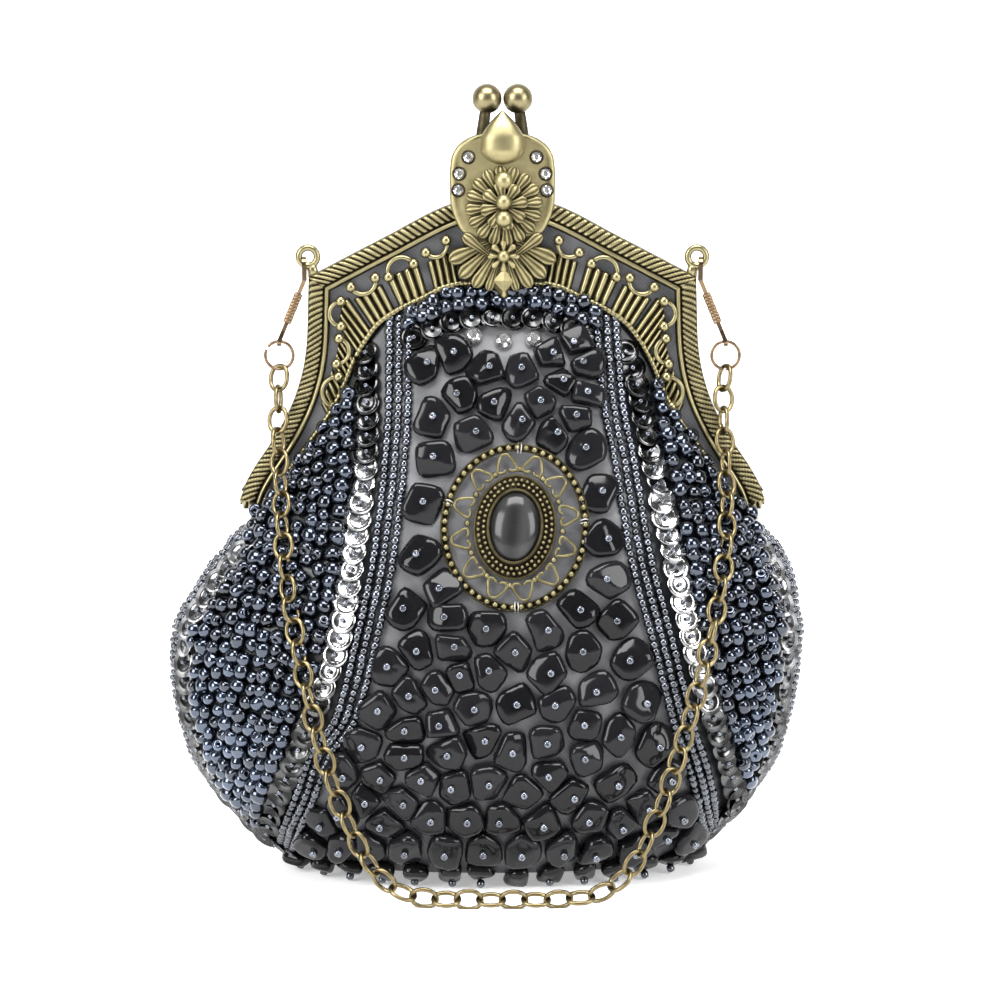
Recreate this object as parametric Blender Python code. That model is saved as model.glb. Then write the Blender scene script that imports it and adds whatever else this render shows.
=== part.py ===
"""Beaded kiss-lock evening handbag with a hinged filigree frame and a chain handle.

Units are metres, +Z is up and the front of the bag faces -Y.
The origin is on the flat underside, below the plane where the two half frames meet.
"""

import math

import bmesh
import bpy
import numpy as np
from mathutils import Matrix, Vector

MM = 0.001

# Clearances
PLAY = 0.3 * MM
FINE_PLAY = 0.15 * MM
HALF_SEAM = 0.15 * MM
HINGE_PLAY = 0.08 * MM
# Points of a drawn outline closer than this are one
MERGE = 0.01 * MM

# Pouch, sewn from a front and a back panel with a lining inside each
HINGE_HEIGHT = 93.0 * MM
POUCH_HALF_WIDTH = 78.5 * MM
POUCH_HALF_DEPTH = 31.0 * MM
SEAM_STRIP = 0.9 * MM
CLOTH = 1.0 * MM
BEADED_CLOTH = 2.0 * MM
LINING = 0.5 * MM
LINING_PLAY = 0.2 * MM
# Cloth left free below and above the hinge at the back, where it folds
FOLD_BELOW = 8.0 * MM
FOLD_ABOVE = 4.0 * MM
BACK_PANEL_TOP = HINGE_HEIGHT - FOLD_BELOW
FLAP_BOTTOM = HINGE_HEIGHT + FOLD_ABOVE
SWAY = 5.0 * MM

# Half frames
FRAME_HALF_WIDTH = 65.3 * MM
FRAME_RISE = 77.0 * MM
FRAME_THICKNESS = 3.6 * MM
BORDER_WIDTH = 5.5 * MM
FILIGREE_THICKNESS = 1.2 * MM
FILIGREE_SETBACK = 0.2 * MM
FILIGREE_BITE = 0.6 * MM
RIM_WIDTH = 1.3 * MM
BAR_WIDTH = 1.5 * MM
WINDOWS = 8
# Ends of the feet, as shares of the frame's rise above the hinge
FRONT_FOOT_SHARE = -0.0104
BACK_FOOT_SHARE = 0.013
FRONT_FOOT_BOTTOM = HINGE_HEIGHT + FRONT_FOOT_SHARE * FRAME_RISE
BACK_FOOT_BOTTOM = HINGE_HEIGHT + BACK_FOOT_SHARE * FRAME_RISE

# Hinge rivets, whose axis runs along X through both feet
LUG_RADIUS = 2.2 * MM
LUG_THICKNESS = 1.2 * MM
LUG_INSET = 3.3 * MM
LUG_INNER_X = FRAME_HALF_WIDTH - LUG_INSET
POCKET_RADIUS = 2.5 * MM
RIVET_RADIUS = 0.6 * MM
RIVET_HEAD_RADIUS = 1.1 * MM
RIVET_HEAD = 0.5 * MM

# Ears, which stand on the frame's corners
EAR_OUTWARDS = 0.14 * MM
EAR_RISE = 5.0 * MM
EAR_OUTER_RADIUS = 2.9 * MM
EAR_HOLE_RADIUS = 1.7 * MM
EAR_THICKNESS = 1.6 * MM
EAR_Y = -HALF_SEAM - FRAME_THICKNESS / 2
EAR_NECK = 2.6 * MM

# Kiss-lock balls
BALL_RADIUS = 3.65 * MM
BALL_RISE = 3.1 * MM
STEM_FOOT_X = 7.0 * MM
STEM_FOOT_RADIUS = 1.5 * MM
STEM_NECK_RADIUS = 1.1 * MM

# Crest on each half frame
CREST_THICKNESS = 1.3 * MM
CREST_HALF_WIDTH = 13.2 * MM
CREST_OVERHANG = 3.1 * MM
CREST_HEIGHT = 45.0 * MM
ROSETTE_SHARE = 0.5
ROSETTE_RADIUS = 9.4 * MM
ROSETTE_DOME = 2.6 * MM
STONE_RADIUS = 1.35 * MM
STONE_DEPTH = 1.0 * MM
GEM_TABLE_SHARE = 0.55

# Medallion on the front panel
MEDALLION_X = 3.0 * MM
MEDALLION_DROP = 3.5 * MM
MEDALLION_HEIGHT = HINGE_HEIGHT - MEDALLION_DROP
MEDALLION_HALF_WIDTH = 18.1 * MM
MEDALLION_HALF_HEIGHT = 20.6 * MM
MEDALLION_THICKNESS = 1.0 * MM
MEDALLION_LOOPS = 12
MEDALLION_STAND_OFF = 0.7 * MM
BEZEL_HALF_WIDTH = 9.9 * MM
BEZEL_HALF_HEIGHT = 12.8 * MM
BEZEL_THICKNESS = 1.6 * MM
CABOCHON_HALF_WIDTH = 6.1 * MM
CABOCHON_HALF_HEIGHT = 7.8 * MM
CABOCHON_RISE = 3.0 * MM
MEDALLION_TILT = math.radians(5)

# Fields of cut chips between the beaded bands, each field one piece
CHIP_STAND_OFF = 1.05 * MM
CHIP_BED = 0.45 * MM
CHIP_HEIGHT = 2.6 * MM
CHIP_CLEARANCE = 0.6 * MM
CHIP_BEVEL_SHARE = 0.2
CHIP_WANDER_SHARE = 0.12
CHIP_COLUMNS = 8
CHIP_ROWS_BELOW = 10
CHIP_ROWS_ABOVE = 4
CHIP_ROWS_LEFT_FOR_FOLD = 2

# Crystals sewn under the arch
CRYSTAL_RADIUS = 2.2 * MM
CRYSTAL_DEPTH = 1.6 * MM

# Spring hooks between ear and ring, with distances measured down from the hook's axis
HOOK_OUTWARDS = 0.9 * MM
HOOK_AXIS_DROP = 1.9 * MM
HOOK_BEND = 1.65 * MM
HOOK_WIDTH = 1.0 * MM
HOOK_THICKNESS = 0.5 * MM
HOOK_FREE_END = 3.8 * MM
HOOK_NARROW = 7.0 * MM
HOOK_HALF_GAP = 0.4 * MM
HOOK_RETURN = 13.4 * MM
RING_LOOP_RADIUS = 0.9 * MM
SLEEVE_TOP = 7.2 * MM
SLEEVE_LENGTH = 7.2 * MM
SLEEVE_WALL = 0.35 * MM
TONGUE_THICKNESS = 0.3 * MM
TONGUE_TIP = 2.4 * MM
TONGUE_TIP_OFFSET = 1.0 * MM

# Rings and chain
RING_OUTWARDS = 6.4 * MM
RING_DROP = 22.5 * MM
RING_RADIUS = 3.4 * MM
RING_WIRE = 0.38 * MM
LINK_WIRE = 0.4 * MM
LINK_HALF_WIDTH = 2.15 * MM
LINK_BITE = 0.32 * MM
LINK_FREE = 0.5 * MM
LINK_TIP_SHARE = 0.45
LINKS = 60
CHAIN_STRETCHES = 10

# The chain was measured as seen from this far away, where what is nearer looks further out
VIEW_DISTANCE = 800.0 * MM

# Chain route from ring to ring: how far out it looks as a share of the rings' own place, how far
# the chain stands off the cloth as a share of the pouch's half depth, and height as a share of the rings'
CHAIN_SHARES = (
    (-1.009, 0.102, 0.911),
    (-1.011, 0.205, 0.849),
    (-1.002, 0.334, 0.772),
    (-0.995, 0.175, 0.680),
    (-0.976, 0.105, 0.583),
    (-0.933, 0.107, 0.479),
    (-0.879, 0.157, 0.371),
    (-0.807, 0.220, 0.262),
    (-0.716, 0.298, 0.162),
    (-0.604, 0.460, 0.074),
    (-0.459, 0.644, 0.025),
    (-0.278, 0.670, 0.017),
    (-0.090, 0.672, 0.017),
    (0.108, 0.679, 0.017),
    (0.289, 0.694, 0.017),
    (0.463, 0.690, 0.026),
    (0.597, 0.549, 0.073),
    (0.698, 0.391, 0.154),
    (0.781, 0.306, 0.247),
    (0.861, 0.241, 0.355),
    (0.933, 0.177, 0.463),
    (0.984, 0.121, 0.564),
    (1.013, 0.159, 0.664),
    (1.013, 0.340, 0.757),
    (1.002, 0.211, 0.842),
    (0.993, 0.102, 0.911),
)

# Half widths of the pouch below the hinge, as shares of its widest, against shares of the hinge height
WIDTH_SHARES = (
    (0.0, 0.54),
    (0.045, 0.635),
    (0.09, 0.715),
    (0.13, 0.77),
    (0.17, 0.815),
    (0.25, 0.892),
    (0.33, 0.945),
    (0.41, 0.97),
    (0.50, 0.992),
    (0.60, 1.0),
    (0.66, 0.998),
    (0.73, 0.97),
    (0.81, 0.93),
    (0.89, 0.865),
    (0.94, 0.815),
    (1.0, 0.755),
)
# How far the belly stands out from the seam, as shares of the half depth, against the same heights
DEPTH_SHARES = (
    (0.0, 0.58),
    (0.045, 0.72),
    (0.09, 0.83),
    (0.17, 0.94),
    (0.27, 0.99),
    (0.41, 1.0),
    (0.56, 0.965),
    (0.70, 0.90),
    (0.81, 0.82),
    (0.90, 0.745),
    (1.0, 0.665),
    (1.10, 0.555),
    (1.22, 0.43),
    (1.34, 0.30),
    (1.44, 0.15),
    (1.52, 0.05),
    (1.57, 0.0),
    (1.62, 0.0),
)
# The belly's lean to one side, as shares of the sway, against the same heights
SWAY_SHARES = (
    (0.0, -0.5),
    (0.15, -0.9),
    (0.45, -0.9),
    (0.65, -0.75),
    (0.78, -0.3),
    (0.88, 0.0),
    (1.7, 0.0),
)
# Where the cloth starts to thin and where it is bare satin, as shares of the hinge height
THINNING_SHARES = (0.80, 0.96)
# Edges of the chip fields: height as a share of the hinge height, and past 1 of the arch above it,
# then the left and right edge as shares of the pouch's half width
CHIP_FIELD_SHARES = (
    (0.09, -0.628, 0.595),
    (0.25, -0.573, 0.564),
    (0.47, -0.443, 0.492),
    (0.68, -0.369, 0.433),
    (0.88, -0.318, 0.376),
    (1.187, -0.284, 0.338),
    (1.641, -0.270, 0.293),
)
# Rows of the cloth: on the underside, up the pouch and up the arch
BASE_ROW_SHARES = (0.0, 0.33, 0.66)
POUCH_ROW_SHARES = (0.0, 0.045, 0.09, 0.15, 0.23, 0.33, 0.44, 0.55, 0.65, 0.74, 0.82, 0.885, 0.94)
ARCH_ROW_SHARES = (0.0, 0.07, 0.17, 0.29, 0.42, 0.55, 0.68, 0.80, 0.90, 1.0)
ACROSS_STEPS = 12
BELLY_POWER = 2.4
BELLY_ROUNDNESS = 0.62

# Right half of the frame's outer edge, as shares of the frame's half width and rise above the hinge
OUTER_SHARES = (
    (0.0, 1.0),
    (0.199, 0.957),
    (0.452, 0.850),
    (0.733, 0.726),
    (0.741, 0.532),
    (0.753, 0.448),
    (0.784, 0.351),
    (0.833, 0.260),
    (0.894, 0.175),
    (0.946, 0.110),
    (0.980, 0.058),
    (1.0, 0.019),
)
# The corner among those points, where the ears stand
CORNER = 3
# Right half of the arch that the frame leaves open, in the same shares
ARCH_SHARES = (
    (0.0, 0.709),
    (0.1225, 0.709),
    (0.213, 0.696),
    (0.297, 0.662),
    (0.392, 0.623),
    (0.469, 0.578),
    (0.5145, 0.529),
    (0.565, 0.4545),
    (0.603, 0.3766),
    (0.643, 0.305),
    (0.706, 0.227),
    (0.775, 0.146),
    (0.833, 0.078),
    (0.888, 0.0195),
)
# Filigree windows, as shares of the way from the crest to where the band runs out
WINDOW_FIRST_SHARE = 0.20
WINDOW_LAST_SHARE = 0.80

# Right half of the crest's outline, as shares of its half width and height
CREST_SHARES = (
    (0.0, 1.0),
    (0.20, 0.935),
    (0.40, 0.873),
    (0.70, 0.855),
    (0.93, 0.80),
    (0.99, 0.70),
    (1.0, 0.55),
    (0.94, 0.42),
    (0.72, 0.325),
    (0.98, 0.29),
    (1.06, 0.24),
    (0.80, 0.17),
    (0.62, 0.10),
    (0.36, 0.07),
    (0.0, 0.0),
)
# Stones on the crest's right shoulder, in the same shares
STONE_SHARES = (
    (0.63, 0.755),
    (0.80, 0.665),
    (0.82, 0.575),
)
# Balls down the middle of the crest: height share of the crest and radius share of the rosette
CREST_BALL_SHARES = (
    (0.62, 0.26),
    (0.51, 0.22),
    (0.42, 0.23),
    (0.21, 0.18),
)
TEARDROP_SHARES = (0.80, 0.14, 0.42)
# Crystals: place across as a share of the medallion's half width, height share of the arch
CRYSTAL_SHARES = (
    ("crystal_left", -0.40, 0.765),
    ("crystal_centre", 0.02, 0.745),
    ("crystal_right", 0.43, 0.75),
)


def clear_scene():
    """Empty the file that the script runs in."""
    for obj in list(bpy.data.objects):
        bpy.data.objects.remove(obj)


def collection(name):
    """A collection linked to the scene."""
    found = bpy.data.collections.new(name)
    bpy.context.scene.collection.children.link(found)
    return found


clear_scene()
BAG = collection("sequin_handbag")
CUTTERS = collection("sequin_handbag_cutters")


def material(name, colour, roughness, metallic):
    """A Principled material of one colour."""
    made = bpy.data.materials.new(name)
    made.use_nodes = True
    shader = made.node_tree.nodes["Principled BSDF"]
    shader.inputs["Base Color"].default_value = (*colour, 1.0)
    shader.inputs["Roughness"].default_value = roughness
    shader.inputs["Metallic"].default_value = metallic
    made.diffuse_color = (*colour, 1.0)
    return made


ANTIQUE_BRASS = ("antique_brass", (0.46, 0.38, 0.20), 0.35, 1.0)
CHAIN_BRASS = ("chain_brass", (0.36, 0.29, 0.17), 0.4, 1.0)
COPPERY_BRASS = ("coppery_brass", (0.45, 0.30, 0.18), 0.35, 1.0)
BEADED_CLOTH_FINISH = ("beaded_cloth", (0.05, 0.07, 0.11), 0.3, 0.3)
LINING_CLOTH_FINISH = ("lining_cloth", (0.03, 0.03, 0.035), 0.8, 0.0)
CRYSTAL_FINISH = ("crystal", (0.85, 0.87, 0.9), 0.05, 0.0)
DARK_STONE_FINISH = ("dark_stone", (0.02, 0.02, 0.022), 0.1, 0.0)


def finish(obj, kind):
    """Give an object its own material of a kind."""
    name, colour, roughness, metallic = kind
    obj.data.materials.clear()
    obj.data.materials.append(material(f"{name}_{obj.name}", colour, roughness, metallic))


def mesh_object(name, points, faces, where=None):
    """An object whose mesh has these points and faces, with its faces turned outwards."""
    mesh = bpy.data.meshes.new(name)
    mesh.from_pydata([tuple(point) for point in points], [], faces)
    work = bmesh.new()
    work.from_mesh(mesh)
    bmesh.ops.recalc_face_normals(work, faces=work.faces)
    work.to_mesh(mesh)
    work.free()
    obj = bpy.data.objects.new(name, mesh)
    (where or BAG).objects.link(obj)
    return obj


def as_tool(obj):
    """Mark an object as a cutter or a shape that another object takes in."""
    for holder in list(obj.users_collection):
        holder.objects.unlink(obj)
    CUTTERS.objects.link(obj)
    obj.hide_render = True
    obj.display_type = "WIRE"
    return obj


def combine(obj, tool, operation):
    """Join a tool to an object, or cut it away."""
    as_tool(tool)
    change = obj.modifiers.new(f"{operation.lower()}_{tool.name}", "BOOLEAN")
    change.operation = operation
    change.solver = "EXACT"
    change.object = tool


def smooth_shade(obj):
    """Shade round pieces smooth and keep their sharp edges."""
    obj.data.shade_smooth()
    obj.data.set_sharp_from_angle(angle=math.radians(35))


def mirror_points(half):
    """A whole outline from its right half, which starts and may end on the middle line."""
    left = [(-x, z) for x, z in reversed(half) if abs(x) > FINE_PLAY]
    return list(half) + left


def curve_mesh(name, outlines, thickness):
    """A flat plate with holes: closed outlines in x and z, centred on y = 0."""
    data = bpy.data.curves.new(name, "CURVE")
    data.dimensions = "2D"
    data.fill_mode = "BOTH"
    data.extrude = thickness / 2
    for outline in outlines:
        spline = data.splines.new("POLY")
        spline.points.add(len(outline) - 1)
        for point, (x, z) in zip(spline.points, outline):
            point.co = (x, z, 0.0, 1.0)
        spline.use_cyclic_u = True
    drawn = bpy.data.objects.new(name + "_outline", data)
    CUTTERS.objects.link(drawn)
    bpy.context.view_layer.update()
    graph = bpy.context.evaluated_depsgraph_get()
    mesh = bpy.data.meshes.new_from_object(drawn.evaluated_get(graph))
    bpy.data.objects.remove(drawn)
    mesh.name = name
    mesh.transform(Matrix.Rotation(math.radians(90), 4, "X"))
    work = bmesh.new()
    work.from_mesh(mesh)
    bmesh.ops.remove_doubles(work, verts=work.verts, dist=MERGE)
    bmesh.ops.recalc_face_normals(work, faces=work.faces)
    work.to_mesh(mesh)
    work.free()
    return mesh


def plate(name, outlines, front, thickness, where=None):
    """A flat plate parallel to the frame's plane, whose front face is at y = front."""
    mesh = curve_mesh(name, outlines, thickness)
    mesh.transform(Matrix.Translation((0.0, front + thickness / 2, 0.0)))
    obj = bpy.data.objects.new(name, mesh)
    (where or BAG).objects.link(obj)
    return obj


def ellipse(half_width, half_height, steps, centre=(0.0, 0.0), turn=0.0):
    """Points of an ellipse in x and z, turned about its own centre."""
    points = []
    for step in range(steps):
        angle = 2 * math.pi * step / steps
        x = half_width * math.cos(angle)
        z = half_height * math.sin(angle)
        across = x * math.cos(turn) - z * math.sin(turn)
        along = x * math.sin(turn) + z * math.cos(turn)
        points.append((centre[0] + across, centre[1] + along))
    return points


def cylinder(name, radius, length, centre, axis, sides=16, top_radius=None):
    """A cylinder or a cone frustum centred on a point, with its length along an axis."""
    work = bmesh.new()
    bmesh.ops.create_cone(
        work,
        cap_ends=True,
        segments=sides,
        radius1=radius,
        radius2=radius if top_radius is None else top_radius,
        depth=length,
    )
    turn = Vector((0.0, 0.0, 1.0)).rotation_difference(Vector(axis)).to_matrix().to_4x4()
    work.transform(Matrix.Translation(centre) @ turn)
    mesh = bpy.data.meshes.new(name)
    work.to_mesh(mesh)
    work.free()
    obj = bpy.data.objects.new(name, mesh)
    BAG.objects.link(obj)
    smooth_shade(obj)
    return obj


def ball(name, radius, centre, segments=14, rings=8, squash=(1.0, 1.0, 1.0)):
    """A sphere, or a squashed one, centred on a point."""
    work = bmesh.new()
    bmesh.ops.create_uvsphere(work, u_segments=segments, v_segments=rings, radius=radius)
    scale = Matrix.Diagonal((*squash, 1.0))
    work.transform(Matrix.Translation(centre) @ scale)
    mesh = bpy.data.meshes.new(name)
    work.to_mesh(mesh)
    work.free()
    obj = bpy.data.objects.new(name, mesh)
    BAG.objects.link(obj)
    smooth_shade(obj)
    return obj


def box(name, low, high):
    """A block between two corners."""
    work = bmesh.new()
    bmesh.ops.create_cube(work, size=1.0)
    size = [top - bottom for bottom, top in zip(low, high)]
    middle = [(top + bottom) / 2 for bottom, top in zip(low, high)]
    work.transform(Matrix.Translation(middle) @ Matrix.Diagonal((*size, 1.0)))
    mesh = bpy.data.meshes.new(name)
    work.to_mesh(mesh)
    work.free()
    obj = bpy.data.objects.new(name, mesh)
    BAG.objects.link(obj)
    return obj


def sweep(name, route, section, side, closed=False):
    """Carry a section, given as across and outwards pairs, along a route of points.

    The section's first number lies along the side direction and its second along
    the normal, which is square to the side and to the route.
    """
    route = np.array(route, float)
    count = len(route)
    if closed:
        ahead = np.roll(route, -1, axis=0) - np.roll(route, 1, axis=0)
    else:
        ahead = np.gradient(route, axis=0)
    ahead /= np.linalg.norm(ahead, axis=1)[:, None]
    sideways = np.array(side, float) - ahead * (ahead @ np.array(side, float))[:, None]
    sideways /= np.linalg.norm(sideways, axis=1)[:, None]
    normal = np.cross(ahead, sideways)
    points = []
    for index in range(count):
        for across, out in section:
            points.append(route[index] + sideways[index] * across + normal[index] * out)
    sides = len(section)
    faces = []
    for index in range(count if closed else count - 1):
        following = (index + 1) % count
        for corner in range(sides):
            after = (corner + 1) % sides
            faces.append(
                (
                    index * sides + corner,
                    following * sides + corner,
                    following * sides + after,
                    index * sides + after,
                )
            )
    if not closed:
        faces.append(tuple(range(sides)))
        faces.append(tuple((count - 1) * sides + corner for corner in range(sides)))
    return mesh_object(name, points, faces)


def even_slopes(xs, ys):
    """Slopes at a table's points that let a smooth curve through them never overshoot."""
    rises = np.diff(ys) / np.diff(xs)
    before = rises[:-1]
    after = rises[1:]
    level = before * after <= 0
    together = np.where(level, 1.0, before + after)
    inside = np.where(level, 0.0, 2 * before * after / together)
    return np.concatenate([[rises[0]], inside, [rises[-1]]])


def interpolate(shares, at):
    """Read a hand-drawn table at a share, on a smooth curve through its points."""
    xs = np.array([row[0] for row in shares], float)
    ys = np.array([row[1] for row in shares], float)
    slopes = even_slopes(xs, ys)
    at = min(max(at, xs[0]), xs[-1])
    index = min(int(np.searchsorted(xs, at, side="right")) - 1, len(xs) - 2)
    span = xs[index + 1] - xs[index]
    t = (at - xs[index]) / span
    first = (1 + 2 * t) * (1 - t) ** 2 * ys[index] + t * (1 - t) ** 2 * span * slopes[index]
    second = t * t * (3 - 2 * t) * ys[index + 1] + t * t * (t - 1) * span * slopes[index + 1]
    return float(first + second)


def framed(shares):
    """Points of the right half of a frame outline from their shares."""
    return [(x * FRAME_HALF_WIDTH, HINGE_HEIGHT + z * FRAME_RISE) for x, z in shares]


def arch_half_width(height):
    """Half width of the arch at a height between the hinge and the arch's top."""
    arch = framed(ARCH_SHARES)
    table = [(z, x) for x, z in reversed(arch) if x > ARCH_SHARES[1][0] * FRAME_HALF_WIDTH / 2]
    xs = [row[0] for row in table]
    ys = [row[1] for row in table]
    return float(np.interp(height, xs, ys))


ARCH_TOP = HINGE_HEIGHT + ARCH_SHARES[0][1] * FRAME_RISE
CLOTH_TOP = ARCH_TOP + RIM_WIDTH / 2
CREST_BOTTOM = ARCH_TOP - CREST_OVERHANG
CREST_TOP = CREST_BOTTOM + CREST_HEIGHT
ROSETTE_HEIGHT = CREST_BOTTOM + ROSETTE_SHARE * CREST_HEIGHT
BALL_HEIGHT = CREST_TOP + BALL_RISE
EAR_X = OUTER_SHARES[CORNER][0] * FRAME_HALF_WIDTH + EAR_OUTWARDS
EAR_Z = HINGE_HEIGHT + OUTER_SHARES[CORNER][1] * FRAME_RISE + EAR_RISE
HOOK_X = EAR_X + HOOK_OUTWARDS
HOOK_AXIS_Z = EAR_Z - HOOK_AXIS_DROP
HOOK_FREE_END_Z = HOOK_AXIS_Z - HOOK_FREE_END
HOOK_RETURN_Z = HOOK_AXIS_Z - HOOK_RETURN
SLEEVE_TOP_Z = HOOK_AXIS_Z - SLEEVE_TOP
SLEEVE_BOTTOM_Z = SLEEVE_TOP_Z - SLEEVE_LENGTH
RING_X = HOOK_X + RING_OUTWARDS
RING_Z = HOOK_AXIS_Z - RING_DROP
RING_TOP_Z = RING_Z + RING_RADIUS


def half_width(height):
    """Half width of the cloth at a height, inside the seam strip."""
    if height < FRONT_FOOT_BOTTOM:
        return POUCH_HALF_WIDTH * interpolate(WIDTH_SHARES, height / HINGE_HEIGHT)
    return arch_half_width(height) - PLAY


def half_depth(height):
    """How far the middle of the cloth stands out from its seam at a height."""
    return POUCH_HALF_DEPTH * interpolate(DEPTH_SHARES, height / HINGE_HEIGHT)


def sway(height):
    """Sideways lean of the pouch at a height."""
    return SWAY * interpolate(SWAY_SHARES, height / HINGE_HEIGHT)


def cloth_thickness(height):
    """Beaded cloth is thick on the pouch and thins to bare satin inside the frame."""
    thick_share, thin_share = THINNING_SHARES
    share = (height / HINGE_HEIGHT - thick_share) / (thin_share - thick_share)
    return BEADED_CLOTH + (CLOTH - BEADED_CLOTH) * min(max(share, 0.0), 1.0)


def seam_depth(height):
    """Distance from the frame's plane to the outer side of the cloth at its seam."""
    return cloth_thickness(height) + LINING_PLAY + LINING + HALF_SEAM + LINING_PLAY


def across_places():
    """Places across the cloth, from -1 to 1, crowded towards the seams."""
    angles = np.linspace(-math.pi / 2, math.pi / 2, ACROSS_STEPS + 1)
    return np.sin(angles)


def belly(place):
    """How much of the belly's depth is left at a place across the cloth."""
    return max(1.0 - abs(place) ** BELLY_POWER, 0.0) ** BELLY_ROUNDNESS


def cloth_row(height):
    """One level row of the cloth: x places and distances out from the frame's plane."""
    places = across_places()
    width = half_width(height)
    lean = sway(height)
    xs = [lean + place * width for place in places]
    outs = [seam_depth(height) + half_depth(height) * belly(place) for place in places]
    strip = SEAM_STRIP
    xs = [xs[0] - strip] + xs + [xs[-1] + strip]
    outs = [seam_depth(height)] + outs + [seam_depth(height)]
    return np.array(xs), np.array(outs)


def side_grid(heights, inset, floor):
    """Grid of the front cloth's rows, drawn in from its outer side by an inset."""
    rows = []
    for height in heights:
        xs, outs = cloth_row(height)
        rows.append(np.stack([xs, -(outs - inset(height)), np.full(len(xs), max(height, floor))], axis=1))
    return rows


def base_grid(inset, floor):
    """Grid of the cloth's underside, from the back panel's foot to the front corner."""
    xs, outs = cloth_row(0.0)
    front = -(outs - inset(0.0))
    back = outs - max(inset(0.0), cloth_thickness(0.0)) - PLAY
    if floor > cloth_thickness(0.0):
        back = outs - cloth_thickness(0.0) - LINING_PLAY - LINING - PLAY
    back = np.maximum(back, front + HALF_SEAM)
    rows = []
    for share in BASE_ROW_SHARES:
        rows.append(np.stack([xs, back + (front - back) * share, np.full(len(xs), floor)], axis=1))
    return rows


def shell(name, outer, inner):
    """A closed wall between two grids of rows, stitched round its rim."""
    outer = np.array(outer)
    inner = np.array(inner)
    rows, columns, _ = outer.shape
    points = np.concatenate([outer.reshape(-1, 3), inner.reshape(-1, 3)])
    lift = rows * columns
    faces = []
    for row in range(rows - 1):
        for column in range(columns - 1):
            a = row * columns + column
            b = a + 1
            c = a + columns + 1
            d = a + columns
            faces.append((a, b, c))
            faces.append((a, c, d))
            faces.append((lift + a, lift + c, lift + b))
            faces.append((lift + a, lift + d, lift + c))
    rim = list(range(columns))
    rim += [row * columns + columns - 1 for row in range(1, rows)]
    rim += [(rows - 1) * columns + column for column in range(columns - 2, -1, -1)]
    rim += [row * columns for row in range(rows - 2, 0, -1)]
    for here, there in zip(rim, rim[1:] + rim[:1]):
        faces.append((here, lift + here, lift + there, there))
    obj = mesh_object(name, points, faces)
    smooth_shade(obj)
    return obj


def mirrored_back(rows):
    """The same rows on the back of the bag."""
    return [row * np.array([1.0, -1.0, 1.0]) for row in rows]


def no_inset(height):
    """The cloth's outer side."""
    return 0.0


def lining_inset(height):
    """The lining's outer side, just inside the cloth."""
    return cloth_thickness(height) + LINING_PLAY


def lining_inner_inset(height):
    """The lining's inner side."""
    return lining_inset(height) + LINING


def pouch_heights(top):
    """Heights of the cloth's rows on the pouch, up to a top."""
    heights = [share * HINGE_HEIGHT for share in POUCH_ROW_SHARES]
    return [height for height in heights if height < top - BEADED_CLOTH / 2]


def arch_heights(bottom):
    """Heights of the cloth's rows from a bottom to the top of the arch."""
    return [bottom + share * (CLOTH_TOP - bottom) for share in ARCH_ROW_SHARES]


def make_front_cloth():
    """Front panel and its lining, which also close the underside."""
    heights = pouch_heights(FRONT_FOOT_BOTTOM) + arch_heights(HINGE_HEIGHT)
    outer = base_grid(no_inset, 0.0) + side_grid(heights, no_inset, 0.0)
    floor = BEADED_CLOTH
    inner = base_grid(cloth_thickness, floor) + side_grid(heights, cloth_thickness, floor)
    panel = shell("front_panel", outer, inner)
    finish(panel, BEADED_CLOTH_FINISH)
    outer_floor = BEADED_CLOTH + LINING_PLAY
    outer = base_grid(lining_inset, outer_floor) + side_grid(heights, lining_inset, outer_floor)
    inner_floor = outer_floor + LINING
    inner = base_grid(lining_inner_inset, inner_floor)
    inner += side_grid(heights, lining_inner_inset, inner_floor)
    lining = shell("front_lining", outer, inner)
    finish(lining, LINING_CLOTH_FINISH)


def make_back_pouch():
    """Back panel below the hinge and its lining."""
    heights = pouch_heights(BACK_PANEL_TOP) + [BACK_PANEL_TOP]
    outer = mirrored_back(side_grid(heights, no_inset, 0.0))
    inner = mirrored_back(side_grid(heights, cloth_thickness, 0.0))
    panel = shell("back_panel", outer, inner)
    finish(panel, BEADED_CLOTH_FINISH)
    floor = BEADED_CLOTH + PLAY
    outer = mirrored_back(side_grid(heights, lining_inset, floor))
    inner = mirrored_back(side_grid(heights, lining_inner_inset, floor))
    lining = shell("back_lining", outer, inner)
    finish(lining, LINING_CLOTH_FINISH)


def make_back_flap():
    """The back cloth that swings with the back half frame, and its lining."""
    heights = arch_heights(FLAP_BOTTOM)
    outer = mirrored_back(side_grid(heights, no_inset, 0.0))
    inner = mirrored_back(side_grid(heights, cloth_thickness, 0.0))
    flap = shell("back_flap", outer, inner)
    finish(flap, BEADED_CLOTH_FINISH)
    outer = mirrored_back(side_grid(heights, lining_inset, 0.0))
    inner = mirrored_back(side_grid(heights, lining_inner_inset, 0.0))
    lining = shell("back_flap_lining", outer, inner)
    finish(lining, LINING_CLOTH_FINISH)
    return [flap, lining]


def offset_line(points, distance):
    """A line beside an open line, moved towards its right-hand side with mitred corners."""
    points = np.array(points, float)
    along = np.diff(points, axis=0)
    along /= np.linalg.norm(along, axis=1)[:, None]
    normals = np.stack([along[:, 1], -along[:, 0]], axis=1)
    moved = []
    for index in range(len(points)):
        before = normals[max(index - 1, 0)]
        after = normals[min(index, len(normals) - 1)]
        middle = before + after
        middle /= np.linalg.norm(middle)
        moved.append(points[index] + middle * distance / float(middle @ after))
    return [tuple(point) for point in moved]


def length_along(points):
    """Distance from the first point to each point of a line."""
    steps = np.linalg.norm(np.diff(np.array(points), axis=0), axis=1)
    return np.concatenate([[0.0], np.cumsum(steps)])


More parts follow.
